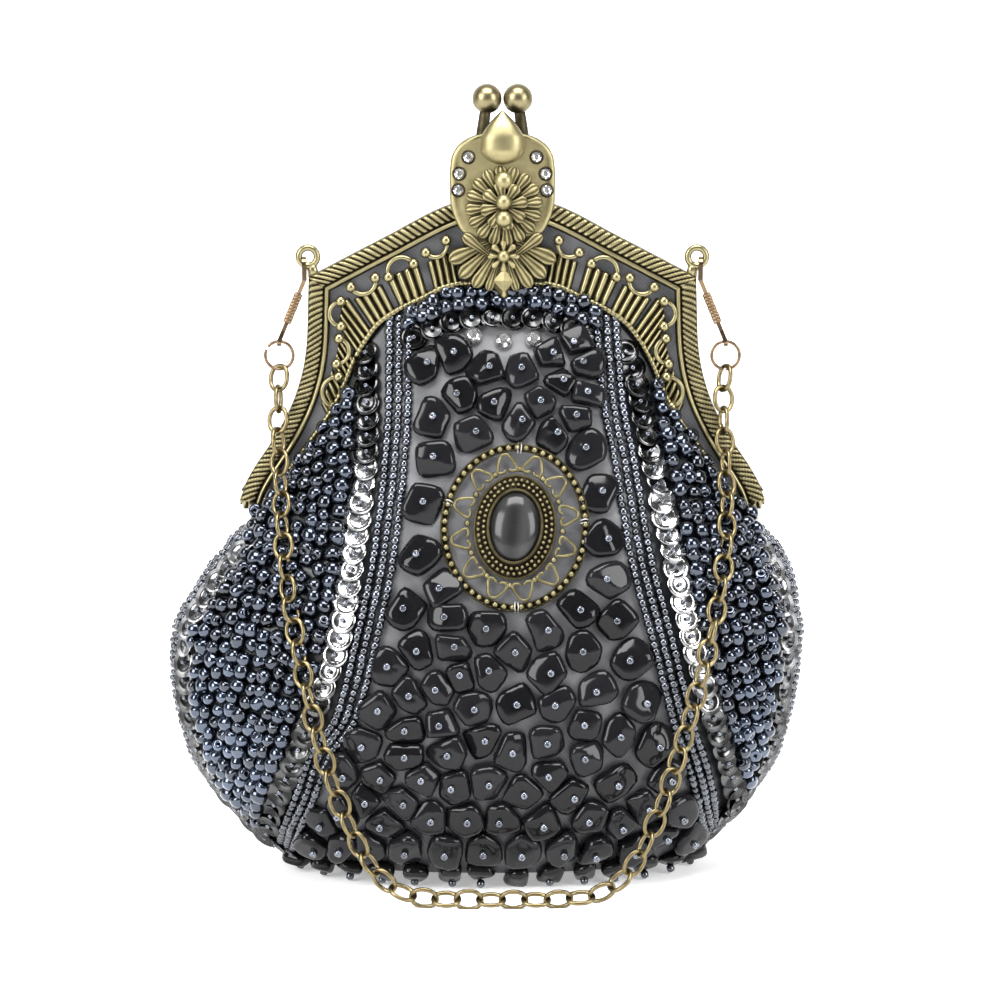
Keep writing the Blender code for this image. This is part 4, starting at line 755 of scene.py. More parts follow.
# Brightness of the foil by height
bright = [(20, .04), (45, .07), (56, .22), (64, .50), (98, .50), (106, .07), (124, .035)]
silver = np.interp(z, *np.array(bright).T)[:, None] * np.array([1.0, 1.005, 1.02])
colours = tints(silver, rng.uniform(0.8, 1.2, count), len(cup[0])).reshape(count, -1, CUP_SIDES, 3)
# Painted glints: alternating bright and dark sectors of the foil stand in for light caught by a faceted cup
painted_facet_glint = np.cos(3 * np.arange(CUP_SIDES) * 2 * math.pi / CUP_SIDES + rng.uniform(0, 6, (count, 1, 1)))
colours = np.clip(colours * (1 + 0.55 * np.sign(painted_facet_glint))[..., None], 0, 0.9).reshape(-1, 3)
size = SEQUIN_RADIUS * rng.uniform(0.97, 1.03, count)
lay("sequins", cup, x, z, axes, size, 0.5 + rng.uniform(0, 0.1, count), colours, SEQUIN)
tip_colours = tints(GUNMETAL, rng.uniform(.8, 1.8, count), len(SMALL_BALL[0]))
lay("sequin_beads", SMALL_BALL, x, z, axes, np.full(count, TIP_RADIUS), 0.95, tip_colours, BEAD)

# %% [markdown]
# ## Cut chips
#
# The chips fill the middle panel like paving. Seeds are spread by Lloyd relaxation: each
# seed moves to the mean of the sample points nearest to it. A chip's outline is the soft
# minimum of its half distances to its neighbours and of four sides of its own, which is a
# rounded Voronoi cell:
#
# $$r(\theta)=\Big(\sum_j\big(\max(\cos(\theta-\theta_j),0)/d_j\big)^{14}\Big)^{-1/14}$$

# %% Chips
MEDAL, MEDAL_ROOM = np.array([3.0, 89.5]), np.array([18.6, 21.2])
FIELD_HALF, FIELD_LOW, FIELD_HIGH, BAND_ROOM = 75, 7.5, 134, 4.6
BARE_LOW, BARE_HIGH = 80, 109
CHIP_SPACING, CHIP_REACH, CHIP_SHARPNESS = 8.9, 5.6, 14
CHIP_WIDTHS, CHIP_LENGTHS, CHIP_HEIGHTS = (4.8, 6.1), (4.1, 5.3), (2.3, 3.3)
HANGING = 14


def spread_seeds(spacing, with_medallion, seed):
    """Seeds in (distance across, height) over the middle panel by Lloyd relaxation."""
    r = np.random.default_rng(seed)
    z = r.uniform(FIELD_LOW, FIELD_HIGH, 26000)
    d = r.uniform(-FIELD_HALF, FIELD_HALF, 26000)
    low = distance_at(z, read_table(BAND[-1], z)) + BAND_ROOM
    high = distance_at(z, read_table(BAND[1], z)) - BAND_ROOM
    x = x_at(z, d)
    keep = (d > low) & (d < high)
    if with_medallion:
        keep &= ((x - MEDAL[0]) / MEDAL_ROOM[0]) ** 2 + ((z - MEDAL[1]) / MEDAL_ROOM[1]) ** 2 > 1
        # The three crystals hang here
        keep &= ~((np.abs(x - 0.6) < 11) & (z > 130.2))
    d, z = d[keep], z[keep]
    area = keep.mean() * 2 * FIELD_HALF * (FIELD_HIGH - FIELD_LOW)
    count = int(area / (0.92 * spacing ** 2))
    pool = np.stack([d, z], 1)
    seeds = pool[r.choice(len(pool), count, replace=False)]
    for _ in range(26):
        near = ((pool[:, None] - seeds[None]) ** 2).sum(-1).argmin(1)
        weight = np.maximum(np.bincount(near, minlength=count), 1)[:, None]
        seeds = np.stack([np.bincount(near, pool[:, k], count) for k in (0, 1)], 1) / weight
    return seeds


def chip_shapes(seeds, r, sides=26):
    """Tumbled chips in their own frames: outlines follow the neighbours, tops are cut by a plane."""
    n = len(seeds)
    gap = seeds[None] - seeds[:, None]
    dist = np.hypot(gap[..., 0], gap[..., 1]) + 1e3 * np.eye(n)
    near = np.argsort(dist, axis=1)[:, :7]
    pick = np.arange(n)[:, None]
    half = np.minimum(dist[pick, near] / 2 - r.uniform(-0.15, 0.75, (n, 7)), CHIP_REACH)
    angle = np.arctan2(gap[pick, near, 1], gap[pick, near, 0]) + r.normal(0, 0.22, (n, 7))
    # Four flat sides of its own keep a chip with far neighbours from growing round
    own = r.uniform(0, math.pi / 2, (n, 1)) + np.arange(4) * math.pi / 2
    wide, high = r.uniform(*CHIP_WIDTHS, (n, 1)), r.uniform(*CHIP_LENGTHS, (n, 1))
    angle = np.concatenate([angle, own], axis=1)
    half = np.concatenate([half, wide, high, wide, high], axis=1)
    turn = np.arange(sides) * 2 * math.pi / sides + np.zeros((n, 1))
    pull = np.maximum(np.cos(turn[:, None, :] - angle[..., None]), 0) / half[..., None]
    pull = (pull ** CHIP_SHARPNESS).sum(1) + 5.9 ** -CHIP_SHARPNESS
    radius = np.minimum(pull, 1e9) ** (-1 / CHIP_SHARPNESS)
    wave = r.normal(0, 0.035, (n, 1)) * np.cos(2 * turn + r.uniform(0, 6, (n, 1)))
    radius = np.minimum(radius, CHIP_REACH) * (1 + wave)
    tall = r.uniform(*CHIP_HEIGHTS, (n, 1))
    lean_x, lean_y = r.normal(0, 0.07, (2, n, 1))
    cut = r.uniform(0, 2 * math.pi, (n, 1))
    levels = []
    profile = ((.90, -.22), (1.0, .12), (1.02, .42), (.98, .68), (.90, .87), (.80, .96), (.66, 1),
               (.34, 1.02), (.02, 1.02))
    for share, height in profile:
        a, b = radius * share * np.cos(turn), radius * share * np.sin(turn)
        beyond = np.clip((a * np.cos(cut) + b * np.sin(cut)) / 4.6 - 0.22, 0, 1)
        h = tall * (height - 0.75 * beyond * max(height, 0)) + (lean_x * a + lean_y * b) * max(height, 0)
        levels.append(np.stack([a, b, h], -1))
    return np.stack(levels, 1), grid_faces(len(profile), sides, wrap=True), tall[:, 0]


def put_chips(name, seeds, seed, facing):
    """Lay the chips of one side, with a small bead on each."""
    r = np.random.default_rng(seed)
    shapes, quads, tall = chip_shapes(seeds, r)
    n, levels, sides, _ = shapes.shape
    z = seeds[:, 1]
    x = x_at(z, seeds[:, 0])
    centre, normal = on_cloth(x, z, -0.3 + 0.5 * held(z))
    axes = frames_from(normal, np.broadcast_to([1.0, 0, 0], normal.shape))
    axes = tip(tip(axes, r.normal(0, 0.06, n)), r.normal(0, 0.06, n), 0)
    points = centre[:, None] + np.einsum("nij,nkj->nki", axes, shapes.reshape(n, -1, 3))
    shade = r.uniform(0.6, 1.4, n)[:, None] * np.array([.006, .006, .007])
    bead_at = centre + normal * (tall + 0.45)[:, None] + axes[:, :, 0] * r.uniform(-.9, .9, (n, 1))
    groups = {"all": np.ones(n, bool)} if facing < 0 else split_for_back(z)
    for part, mask in groups.items():
        count = mask.sum()
        if not count:
            continue
        p = points[mask].reshape(-1, 3)
        f = (quads[None] + (np.arange(count) * levels * sides)[:, None, None]).reshape(-1, 4)
        b, bf = bake(SMALL_BALL, bead_at[mask], axes[mask], 1.0)
        c = np.repeat(shade[mask], levels * sides, axis=0)
        bc = tints(GUNMETAL * 1.6, r.uniform(0.6, 1.3, count), len(SMALL_BALL[0]))
        if facing > 0:
            (p, f), (b, bf) = mirrored(p, f), mirrored(b, bf)
        chip = put_mesh(f"{name}_{part}", p, f, CHIP, colours=c)
        bead = put_mesh(f"{name}_beads_{part}", b, bf, BEAD, colours=bc)
        for obj in (chip, bead):
            if facing < 0:
                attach(obj, FRONT)
            else:
                carry(obj, part)
        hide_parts({"all": "front_chips", "low": "back_chips", "high": "back_flap_chips"}[part])


front_seeds = spread_seeds(CHIP_SPACING, True, 5)
back_seeds = spread_seeds(CHIP_SPACING, False, 6)
# No chips in this band, where the bag's cloth folds when the frame opens
back_seeds = back_seeds[(back_seeds[:, 1] < BARE_LOW) | (back_seeds[:, 1] > BARE_HIGH)]
put_chips("front_stone", front_seeds, 21, -1)
put_chips("back_stone", back_seeds, 22, 1)
print("chips:", len(front_seeds), len(back_seeds))

# The hanging row along the bottom edge
hang_d = np.linspace(-1, 1, HANGING)
for facing, word in ((-1, "front"), (1, "back")):
    r = np.random.default_rng(31 + facing)
    z = np.full(HANGING, 6.0)
    low = distance_at(z, read_table(BAND[-1], z)) + 5
    high = distance_at(z, read_table(BAND[1], z)) - 5
    d = low + (hang_d + 1) / 2 * (high - low)
    seeds = np.stack([d + r.normal(0, 0.4, HANGING), z], 1)
    shapes, quads, tall = chip_shapes(seeds, r)
    x = x_at(z, seeds[:, 0])
    centre, normal = on_cloth(x, np.full(HANGING, 4.2) + r.normal(0, 0.5, HANGING), -0.4)
    normal = normal + [0, 0, -0.45]
    normal /= np.linalg.norm(normal, axis=1, keepdims=True)
    axes = frames_from(normal, np.broadcast_to([1.0, 0, 0], normal.shape))
    shapes = shapes * [0.78, 0.72, 0.85]
    points = centre[:, None] + np.einsum("nij,nkj->nki", axes, shapes.reshape(HANGING, -1, 3))
    points = points.reshape(-1, 3)
    faces = (quads[None] + (np.arange(HANGING) * shapes[0].size // 3)[:, None, None]).reshape(-1, 4)
    drop = centre * [1, 1, 0] + [0, 0, 1.15]
    b, bf = bake(SMALL_BALL, drop + [0, 0.6, 0], axes, 1.05)
    if facing > 0:
        (points, faces), (b, bf) = mirrored(points, faces), mirrored(b, bf)
    chip = put_mesh(word + "_bottom_chips", points, faces, CHIP, colours=np.full((len(points), 3), .007))
    bead_colours = tints(GUNMETAL, r.uniform(.5, 1, HANGING), len(SMALL_BALL[0]))
    bead = put_mesh(word + "_bottom_beads", b, bf, BEAD, colours=bead_colours)
    for obj in (chip, bead):
        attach(obj, FRONT)

# %% [markdown]
# ## The ribbed border
#
# The border is one long relief. Along it runs s, across it v. Its flat ribs and grooves are a
# softened square wave $\tfrac12+\tfrac12\tanh(2\cos\phi+0.1)$ with
# $\phi=2\pi(s+k\,v\,w)/\text{pitch}$, so k slants them.
# A groove and a smooth ridge follow on the inner side.

# %% Frame lines
BORDER_WIDTH = 5.5


def offset_line(points, distance):
    """A line beside an open line, towards its right, with mitred corners."""
    along = np.diff(points, axis=0)
    along /= np.linalg.norm(along, axis=1, keepdims=True)
    normals = np.stack([along[:, 1], -along[:, 0]], axis=1)
    before, after = np.concatenate([normals[:1], normals]), np.concatenate([normals, normals[-1:]])
    middle = before + after
    middle /= np.linalg.norm(middle, axis=1, keepdims=True)
    return points + middle * distance / np.sum(middle * after, axis=1, keepdims=True)


def curve_at(points, at):
    """A smooth line through points, read at their running numbers."""
    number = np.arange(len(points))
    return np.stack([read_table(np.stack([number, points[:, k]], 1), at) for k in (0, 1)], 1)


def dense(points, count):
    """The smooth line through points at an even pitch, by numbers of its points."""
    at = np.linspace(0, len(points) - 1, 1200)
    line = curve_at(points, at)
    run = running_length(line)
    return np.interp(np.linspace(0, run[-1], count), run, at), run[-1]


def border_lines(foot):
    """Outer and inner border points of the right half, from the crest to the foot."""
    outer = OUTER_MM.copy()
    outer[-1, 1] = foot + 1.4
    inner = offset_line(outer, BORDER_WIDTH)
    inner[0, 0] = 0.0
    inner[-1, 1] = foot
    return outer, inner


def lobes(phase):
    """Round lobes: 1 halfway between whole numbers and 0 at them."""
    return 1 - np.abs(2 * (phase - np.floor(phase)) - 1) ** 2


# %% Border relief
def border_half(foot):
    """One half of the border as (points, faces, hollow), front towards -Y."""
    outer, inner = border_lines(foot)
    parts = []
    v = np.array([0, 0, .03, .1, .2, .3, .4, .5, .6, .66, .69, .72, .745, .78, .84, .90, .94, .97, 1.0, 1.0])
    base = np.array([.15, 2.6, 3.0, 3.2, 3.3, 3.38, 3.42, 3.42, 3.38, 3.3,
                     2.95, 2.95, 3.4, 3.75, 3.9, 3.8, 3.4, 3.1, 2.9, .15])
    ribbed = np.array([0, .1, .7, 1, 1, 1, 1, 1, 1, .7, 0, 0, 0, 0, 0, 0, 0, 0, 0, 0])
    dark = np.array([.9, .15, 0, 0, 0, 0, 0, 0, 0, .3, 1, 1, .5, .05, 0, .05, .5, .8, 1, 1])
    # First and last point of a stretch, slant and pitch of its ribs, and count of sections
    stretches = ((0, 3, 0.65, 1.62, 620), (3, len(outer) - 1, 0.75, 1.42, 960))
    for first, last, slant, pitch, count in stretches:
        o, i = outer[first:last + 1], inner[first:last + 1]
        at, length = dense((o + i) / 2, count)
        a, b = curve_at(o, at), curve_at(i, at)
        s = np.linspace(0, length, count)[:, None]
        phase = 2 * math.pi * (s + slant * v * BORDER_WIDTH) / pitch
        lobe = 0.5 + 0.5 * np.tanh(2.0 * np.cos(phase) + 0.1)
        fade = np.clip((length - s) / 1.5, 0, 1) if first else 1.0
        out = base + 0.5 * ribbed * (lobe - 0.35) * fade
        xz = a[:, None] + (b - a)[:, None] * v[:, None]
        points = np.stack([xz[..., 0], -out, xz[..., 1]], axis=-1)
        hollow = np.clip(dark + ribbed * (1 - lobe) * 1.05, 0, 1)
        faces = grid_faces(count, len(v))
        closing = grid_faces(count, len(v), wrap=True).reshape(count - 1, len(v), 4)[:, -1]
        parts.append((points.reshape(-1, 3), np.concatenate([faces, closing]), hollow.ravel()))
    points, faces = joined([(p, f) for p, f, _ in parts])
    return points, faces, np.concatenate([h for _, _, h in parts])


def both_halves(points, faces, hollow=None):
    """A right half and its mirror image as one shape."""
    p, f = joined([(points, faces), mirrored(points, faces, 0)])
    return p, f, None if hollow is None else np.concatenate([hollow, hollow])


def put_metal(name, body, points, faces, hollow=None, look=BRASS, slot="antique_brass", back=False):
    """A metal piece that rides on a body; hollow is its patina attribute."""
    if back:
        points, faces = mirrored(points, faces)
    hollow = np.zeros(len(points)) if hollow is None else hollow
    obj = put_mesh(name, points, faces, look, values={"hollow": hollow})
    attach(obj, body)
    return obj


# %% [markdown]
# ## Filigree
#
# Between the border's ridge and the arch's rim lie groups of fluted bars and C-scrolls with
# ball ends. A scroll is an arc over its two ends. The bars under it are drawn by their share
# of the arch's length and by how far they reach across.

# %% Filigree
def arch_place(share, across, foot):
    """Point of the filigree: share along the arch, across 0 at its rim and 1 at the ridge."""
    inner = border_lines(foot)[1]
    runs = []
    for line in (ARCH_MM, inner):
        fine = curve_at(line, np.linspace(0, len(line) - 1, 900))
        run = running_length(fine)
        runs.append(np.stack([np.interp(share * run[-1], run, fine[:, k]) for k in (0, 1)], -1))
    return runs[0] + (runs[1] - runs[0]) * np.asarray(across)[..., None]


# Ends of the C-scrolls' arcs on the right half, x and height, and where the belly points
SCROLLS = [((13.9, 158.0), (18.9, 155.0), "arch"), ((21.9, 152.3), (28.1, 149.0), "ridge"),
           ((31.4, 148.8), (37.4, 146.5), "arch"), ((39.9, 143.0), (39.9, 136.8), "ridge"),
           ((40.4, 133.8), (41.1, 127.5), "arch"), ((40.6, 124.3), (41.9, 116.8), "ridge")]


OPENWORK_LENGTH = 84


def share_near(point, foot):
    """Share along the arch of the filigree's point nearest to a given one."""
    shares = np.linspace(0, 1, 400)
    found = arch_place(shares, np.full(400, 0.6), foot)
    return shares[np.argmin(((found - point) ** 2).sum(1))]


def fluted_bars(foot):
    """A group of four flutes from the arch to each scroll."""
    parts, hollows = [], []
    v = np.array([0.0, .06, .3, .6, .9, .97, 1.0])
    for start, end, belly in SCROLLS:
        mid = share_near((np.array(start) + end) / 2, foot)
        reach = 0.60 if belly == "arch" else 0.68
        half = 0.5 * math.dist(start, end) / OPENWORK_LENGTH + 0.004
        share = np.linspace(mid - half, mid + half, 49)
        across, w = np.meshgrid(share, v, indexing="ij")
        lobe = 0.5 + 0.5 * np.cos(2 * math.pi * ((across - mid) / (2 * half) + 0.5) * 4 + math.pi)
        xz = arch_place(across, w * reach, foot)
        out = 2.7 + 1.1 * lobe ** 0.5 - 0.5 * (np.abs(w - .5) > .48)
        out[[0, -1]] = 2.3
        parts.append((np.stack([xz[..., 0], -out, xz[..., 1]], -1).reshape(-1, 3), grid_faces(49, len(v))))
        hollows.append(np.clip(1.0 - 2.4 * lobe, 0, 1).ravel())
    points, faces = joined(parts)
    return points, faces, np.concatenate(hollows)


def scrolls(foot):
    """C-scrolls: an arc of round wire over each pair of ends, with a ball at both."""
    parts = []
    t = np.linspace(-1, 1, 36)[:, None]
    half_turn = math.radians(84)
    for start, end, belly in SCROLLS:
        start, end = np.array(start), np.array(end)
        middle = (start + end) / 2
        share = np.array([share_near(middle, foot)])
        inward = arch_place(share, np.array([0.0]), foot)[0] - arch_place(share, np.array([1.0]), foot)[0]
        chord = end - start
        square = np.array([-chord[1], chord[0]]) / np.linalg.norm(chord)
        wanted = inward if belly == "arch" else -inward
        square *= np.sign(square @ wanted)
        angle = t * half_turn
        radius = np.linalg.norm(chord) / 2 / math.sin(half_turn)
        low = math.cos(half_turn)
        line = middle + np.sin(angle) * radius * chord / np.linalg.norm(chord)
        line = line + (np.cos(angle) - low) * radius * square
        route = np.stack([line[:, 0], np.full(len(t), -3.7), line[:, 1]], 1)
        parts.append(sweep(route, circle(0.60, 9), up=[0, 1, 0]))
        for tip_point in (route[0], route[-1]):
            parts.append((ROUND_BALL[0] * 1.36 + tip_point, ROUND_BALL[1]))
    return joined(parts)


def arch_rim():
    """The beaded rim along the arch."""
    at, _ = dense(ARCH_MM, 300)
    line = curve_at(ARCH_MM, at)
    line = np.concatenate([line[::-1] * [-1, 1], line[1:]])
    route = np.stack([line[:, 0], np.full(len(line), -3.3), line[:, 1]], 1)
    length = running_length(route)
    lobe = lobes(length / 1.15)
    points, faces = sweep(route, circle(0.72, 8), up=[0, 1, 0], scale=0.86 + 0.2 * lobe)
    dark = np.repeat(np.concatenate([[0], 0.8 * (1 - lobe) ** 1.5, [0]]), 8)
    return points, faces, dark


def upright_ring(place, radius, turn):
    """Points round a place (x, y, z), in the frame's plane, at the given angles."""
    x, y, z = place
    return np.stack([x + radius * np.cos(turn), np.full(len(turn), y), z + radius * np.sin(turn)], 1)


EAR_X, EAR_Y, EAR_Z = 48.0, -1.95, 153.9
NECK = np.array([[46.6, EAR_Y, 148.6], [46.9, EAR_Y, 150.6], [47.2, EAR_Y, 151.9]])
BAR_END = np.array([[0, -3.2, -.6], [0, -3.2, 3.0], [0, -1.2, 2.6], [0, -1.2, -.6]])
BAR_FACES = np.array([[0, 1, 2, 3], [7, 6, 5, 4], [0, 4, 5, 1], [1, 5, 6, 2], [2, 6, 7, 3], [3, 7, 4, 0]])


def lugs(back):
    """A disc and a bar at each foot and, on the front, an ear on its neck at each side."""
    lug_x = 63.5 if back else 62.0
    disc, disc_faces = ring_solid([0.02, 2.2, 2.2, 0.02], [0, 0, 1.2, 1.2], 24)
    turn = np.linspace(0, 2 * math.pi, 41)[:-1]
    parts = []
    for side in (-1, 1):
        foot = [side * lug_x, 0, HINGE]
        bar = np.concatenate([BAR_END + foot, BAR_END + foot + [side * 1.2, 0, 0]])
        parts += [(disc[:, [2, 0, 1]] * [side, 1, 1] + foot, disc_faces), (bar, BAR_FACES)]
        if not back:
            loop = upright_ring((side * EAR_X, EAR_Y, EAR_Z), 2.25, turn)
            parts.append(sweep(loop, circle(0.85, 10), up=[0, 1, 0], closed=True))
            parts.append(sweep(NECK * [side, 1, 1], circle(1.2, 10) * [1.1, 0.7], up=[0, 1, 0]))
    return joined(parts)


def half_frame(word, body, foot, back):
    """Border, bars, scrolls, arch rim, window satin and lugs of one half frame."""
    border = put_metal(word + "_border", body, *both_halves(*border_half(foot)), back=back)
    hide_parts(word + "_frame")
    put_metal(word + "_fluted_bars", body, *both_halves(*fluted_bars(foot)), back=back)
    p, f, _ = both_halves(*scrolls(foot))
    put_metal(word + "_scrolls", body, p, f, back=back)
    put_metal(word + "_arch_rim", body, *arch_rim(), back=back)
    s, w = np.meshgrid(np.linspace(0.0, 0.985, 120), np.linspace(-0.12, 1.25, 5), indexing="ij")
    xz = arch_place(s, w, foot)
    panel = np.stack([xz[..., 0], np.full(s.shape, -2.2), xz[..., 1]], -1).reshape(-1, 3)
    p, f, _ = both_halves(panel, grid_faces(120, 5))
    if back:
        p, f = mirrored(p, f)
    # Painted shade: the satin seen through the filigree is darkened a little
    cloth = put_mesh(word + "_window_satin", p, f, SATIN, values={"painted_shade": np.full(len(p), 0.15)})
    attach(cloth, body)
    put_metal(word + "_lugs", body, *lugs(back), back=back)


half_frame("front", FRONT, 92.2, False)
half_frame("back", BACK, 94.0, True)

# %% [markdown]
# ## The crest
#
# The crest is built from leaves. A leaf is a grid: t runs from base to tip, u across. It widens
# like a club and ends round, and it is lifted by $h(1-u^2)^{0.6}$ less a cosine for grooves.

# %% Crest
def leaf(base, end, width, rise, grooves=1, lift=0.0, curl=0.0, rows=16, columns=15):
    """One leaf in the frame's plane as (points, faces, hollow)."""
    base, end = np.array(base, float), np.array(end, float)
    t, u = np.meshgrid(np.linspace(0, 1, rows), np.linspace(-1, 1, columns), indexing="ij")
    along = end - base
    square = np.array([-along[1], along[0]]) / np.linalg.norm(along)
    round_end = np.sqrt(np.clip(1 - (np.clip(t - 0.76, 0, 1) / 0.24) ** 2, 0, 1))
    w = width / 2 * (0.40 + 0.60 * np.clip(t / 0.76, 0, 1) ** 1.3) * round_end
    xz = base + t[..., None] * along + (u * w)[..., None] * square
    wave = 0.5 - 0.5 * np.cos(math.pi * (u + 1) * grooves)
    arched = 0.35 + 0.65 * np.sin(math.pi * np.clip(t * 0.9 + 0.1, 0, 1)) ** 0.5
    out = lift + rise * ((1 - u ** 2) ** 0.6) * arched
    out = out - 0.22 * rise * (1 - wave) * (np.abs(u) < 0.99) + curl * t ** 2
    out = np.where(np.abs(u) > 0.99, lift - 0.9, out)
    points = np.stack([xz[..., 0], -out, xz[..., 1]], -1).reshape(-1, 3)
    hollow = np.clip(0.75 * (1 - wave) * (np.abs(u) < 0.9) + 0.8 * np.abs(u) ** 6 + 0.5 * (1 - t) ** 3, 0, 1)
    return points, grid_faces(rows, columns), hollow.ravel()


def crest_parts():
    """All cast parts of the crest, front towards -Y."""
    made = []

    def add(shape, hollow=None):
        made.append((*shape, np.full(len(shape[0]), 0.08) if hollow is None else hollow))

    # Shoulders: a smooth plaque with a rounded edge
    half = [(144.6, 0.6), (149, 4.5), (153, 6.2), (157, 8.0), (159, 8.6), (160.2, 10), (162.2, 11.2),
            (164.7, 12.2), (168, 12.9), (174.2, 12.95), (178, 12.6), (180.5, 11.5), (182.5, 9.2),
            (183.7, 6.4), (184.6, 3.0)]
    foot, top = half[0][0], half[-1][0]
    z = np.linspace(foot, top, 90)
    w = read_table(half, z)
    u = np.array([-1, -1, -.985, -.95, -.88, -.78, -.6, -.4, -.2, 0, .2, .4, .6, .78, .88, .95, .985, 1, 1])
    edge = np.minimum(np.minimum((1 - np.abs(u))[None] * w[:, None], (top - z)[:, None] * 1.3), 1.0)
    out = 4.75 + 0.9 * np.sqrt(np.clip(1 - (1 - edge) ** 2, 0, 1)) + 0.35 * (1 - u ** 2)
    out[:, [0, -1]] = 4.05
    x = u[None] * w[:, None]
    groove = np.exp(-((np.abs(x) - (w[:, None] - 1.7)) / 0.28) ** 2) * (z[:, None] > 159)
    plate = np.stack([x, -(out - 0.25 * groove), np.broadcast_to(z[:, None], x.shape)], -1).reshape(-1, 3)
    near_rosette = np.clip(1.5 - 1.5 * np.hypot(x - 0.35, z[:, None] - 166.6) / 11.5, 0, 1)
    dull = np.clip(0.6 * groove + near_rosette + 0.7 * (z[:, None] < 159), 0, 1)
    add((plate, grid_faces(90, len(u))), dull.ravel())
    back = np.stack([x, np.full(x.shape, -4.0), np.broadcast_to(z[:, None], x.shape)], -1).reshape(-1, 3)
    add((back, grid_faces(90, len(u))[:, ::-1]), np.full(len(back), 0.35))
    # Teardrop
    zt = np.linspace(0, 1, 26)
    swell = [(0, .3), (.1, 3.6), (.3, 5.5), (.5, 5.4), (.68, 4.2), (.84, 2.4), (.94, 1.0), (1, .15)]
    wide = read_table(swell, zt)
    turn = np.linspace(0, math.pi, 15)
    x = wide[:, None] * np.cos(turn)
    out = 5.3 + 0.62 * wide[:, None] * np.sin(turn) ** 0.8
    heights = np.broadcast_to(176.3 + 13.3 * zt[:, None], x.shape)
    drop = np.stack([x, -out, heights], -1).reshape(-1, 3)
    back = np.stack([x, np.full(x.shape, -5.2), heights], -1).reshape(-1, 3)
    add((back, grid_faces(26, 15)[:, ::-1]), np.full(len(back), 0.35))
    ridge = 0.7 * np.exp(-((np.abs(np.cos(turn)) - 0.72) / 0.07) ** 2) * np.ones((26, 1))
    add((drop, grid_faces(26, 15)), np.clip(ridge + 0.5 * (np.sin(turn) < 0.2), 0, 1).ravel())
    # Balls down the middle
    balls = ((172.7, 2.5, 6.2), (167.6, 2.05, 7.6), (163.5, 2.25, 7.4), (154.25, 1.65, 6.3))
    for height, radius, lift in balls:
        p, f = sphere(20, 13)
        add((p * radius + [0.3, -lift, height], f))
    # Rosette: outer and inner petals
    centre = np.array([0.35, 166.6])
    rings = ((16, 3.8, 10.0, 3.7, 1.7, 5.75, .1), (8, 1.0, 6.2, 3.9, 1.6, 6.9, .2))
    for count, inner, outer, width, rise, lift, turn0 in rings:
        for angle in turn0 + np.arange(count) * 2 * math.pi / count:
            way = np.array([math.cos(angle) * 0.97, math.sin(angle)])
            p, f, h = leaf(centre + inner * way, centre + outer * way, width, rise, 3, lift, -0.25)
            add((p, f), h)
    # Leaves under the rosette, by base, end, width and lift, and the flower with its diamond and tip
    low_leaves = (((3, 154.3), (9.8, 159.6), 3.0, 5.9), ((3.4, 157.6), (13.2, 153.0), 4.0, 5.2),
                  ((3.0, 156.2), (10.6, 149.0), 3.8, 5.4), ((1.8, 155), (7.1, 146.5), 3.4, 5.6),
                  ((1.2, 153), (3.6, 145.6), 2.4, 5.6))
    for side in (-1, 1):
        for base, end, width, lift in low_leaves:
            p, f, h = leaf((side * base[0], base[1]), (side * end[0], end[1]), width * 1.15, 1.3, 3, lift)
            add((p, f), h)
    flower = np.array([0.3, 154.25])
    for angle in np.arange(8) * math.pi / 4:
        way = np.array([math.cos(angle), math.sin(angle)])
        p, f, h = leaf(flower + way, flower + 4.0 * way, 2.5, 0.8, 1, 6.1)
        add((p, f), h)
    corners = np.array([(2.7, 0), (0, 2.9), (-2.7, 0), (0, -2.9)])
    for one, two in zip(corners, np.roll(corners, -1, axis=0)):
        side = np.array([one, two, two * .05, one * .05])
        p = np.column_stack([side[:, 0] + .35, [-6.4, -6.4, -7.7, -7.7], side[:, 1] + 148.3])
        add((p, np.array([[0, 1, 2, 3]])))
    p, f, h = leaf((0.35, 147.6), (0.4, 143.9), 2.2, 0.9, 1, 5.4)
    add((p, f), h)
    points, faces = joined([(p, f) for p, f, _ in made])
    return points, faces, np.concatenate([h for _, _, h in made])


def brilliant(radius, depth, sides=12):
    """A round cut stone: table, crown and girdle, with its table at the top."""
    points, faces = ring_solid([1, 1, .9, .56, .5, .02], [0, .35, .55, .97, 1.0, 1.0], sides)
    return points * [radius, radius, depth], faces


def painted_stone_glints(count, per, r):
    """Painted glints: a random grey at each facet corner stands in for the room's light that foil-backed
    glass catches.
    """
    grey = r.choice([.10, .25, .5, .75, .95], (count * per, 1), p=[.2, .2, .2, .2, .2])
    return np.repeat(grey, 3, axis=1) * [.97, .98, 1.0]


for word, body, back in (("front", FRONT, False), ("back", BACK, True)):
    crest = put_metal(word + "_crest_relief", body, *crest_parts(), look=CREST_BRASS, back=back)
    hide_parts(word + "_crest")
    for side, name in ((-1, "left"), (1, "right")):
        for number in (1, 2, 3):
            node = f"{word}_stone_{name}_{number}"
            low, high = [np.array(c) * 1000 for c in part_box(node)]
            mid = (low + high) / 2
            cut, faces = brilliant(1.35, 1.0, 8)
            p = cut[:, [0, 2, 1]] * [1, -1, 1] + [mid[0], 0, mid[2]]
            p[:, 1] -= 5.75
            faces = faces[:, ::-1]
            collar_turn = np.linspace(0, 2 * math.pi, 25)[:-1]
            collar = upright_ring((mid[0], -5.85, mid[2]), 1.5, collar_turn)
            cp, cf = sweep(collar, circle(0.28, 6), up=[0, 1, 0], closed=True)
            if back:
                p, faces = mirrored(p, faces)
            # Painted glints on the cut stone, lifted a little brighter
            bright = np.clip(painted_stone_glints(1, len(p), rng) + 0.3, 0, 1)
            stone = put_mesh(node + "_cut", p, faces, GEM, False, colours=bright)
            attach(stone, body)
            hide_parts(node)
            put_metal(node + "_collar", body, cp, cf, np.full(len(cp), 0.85), back=back)

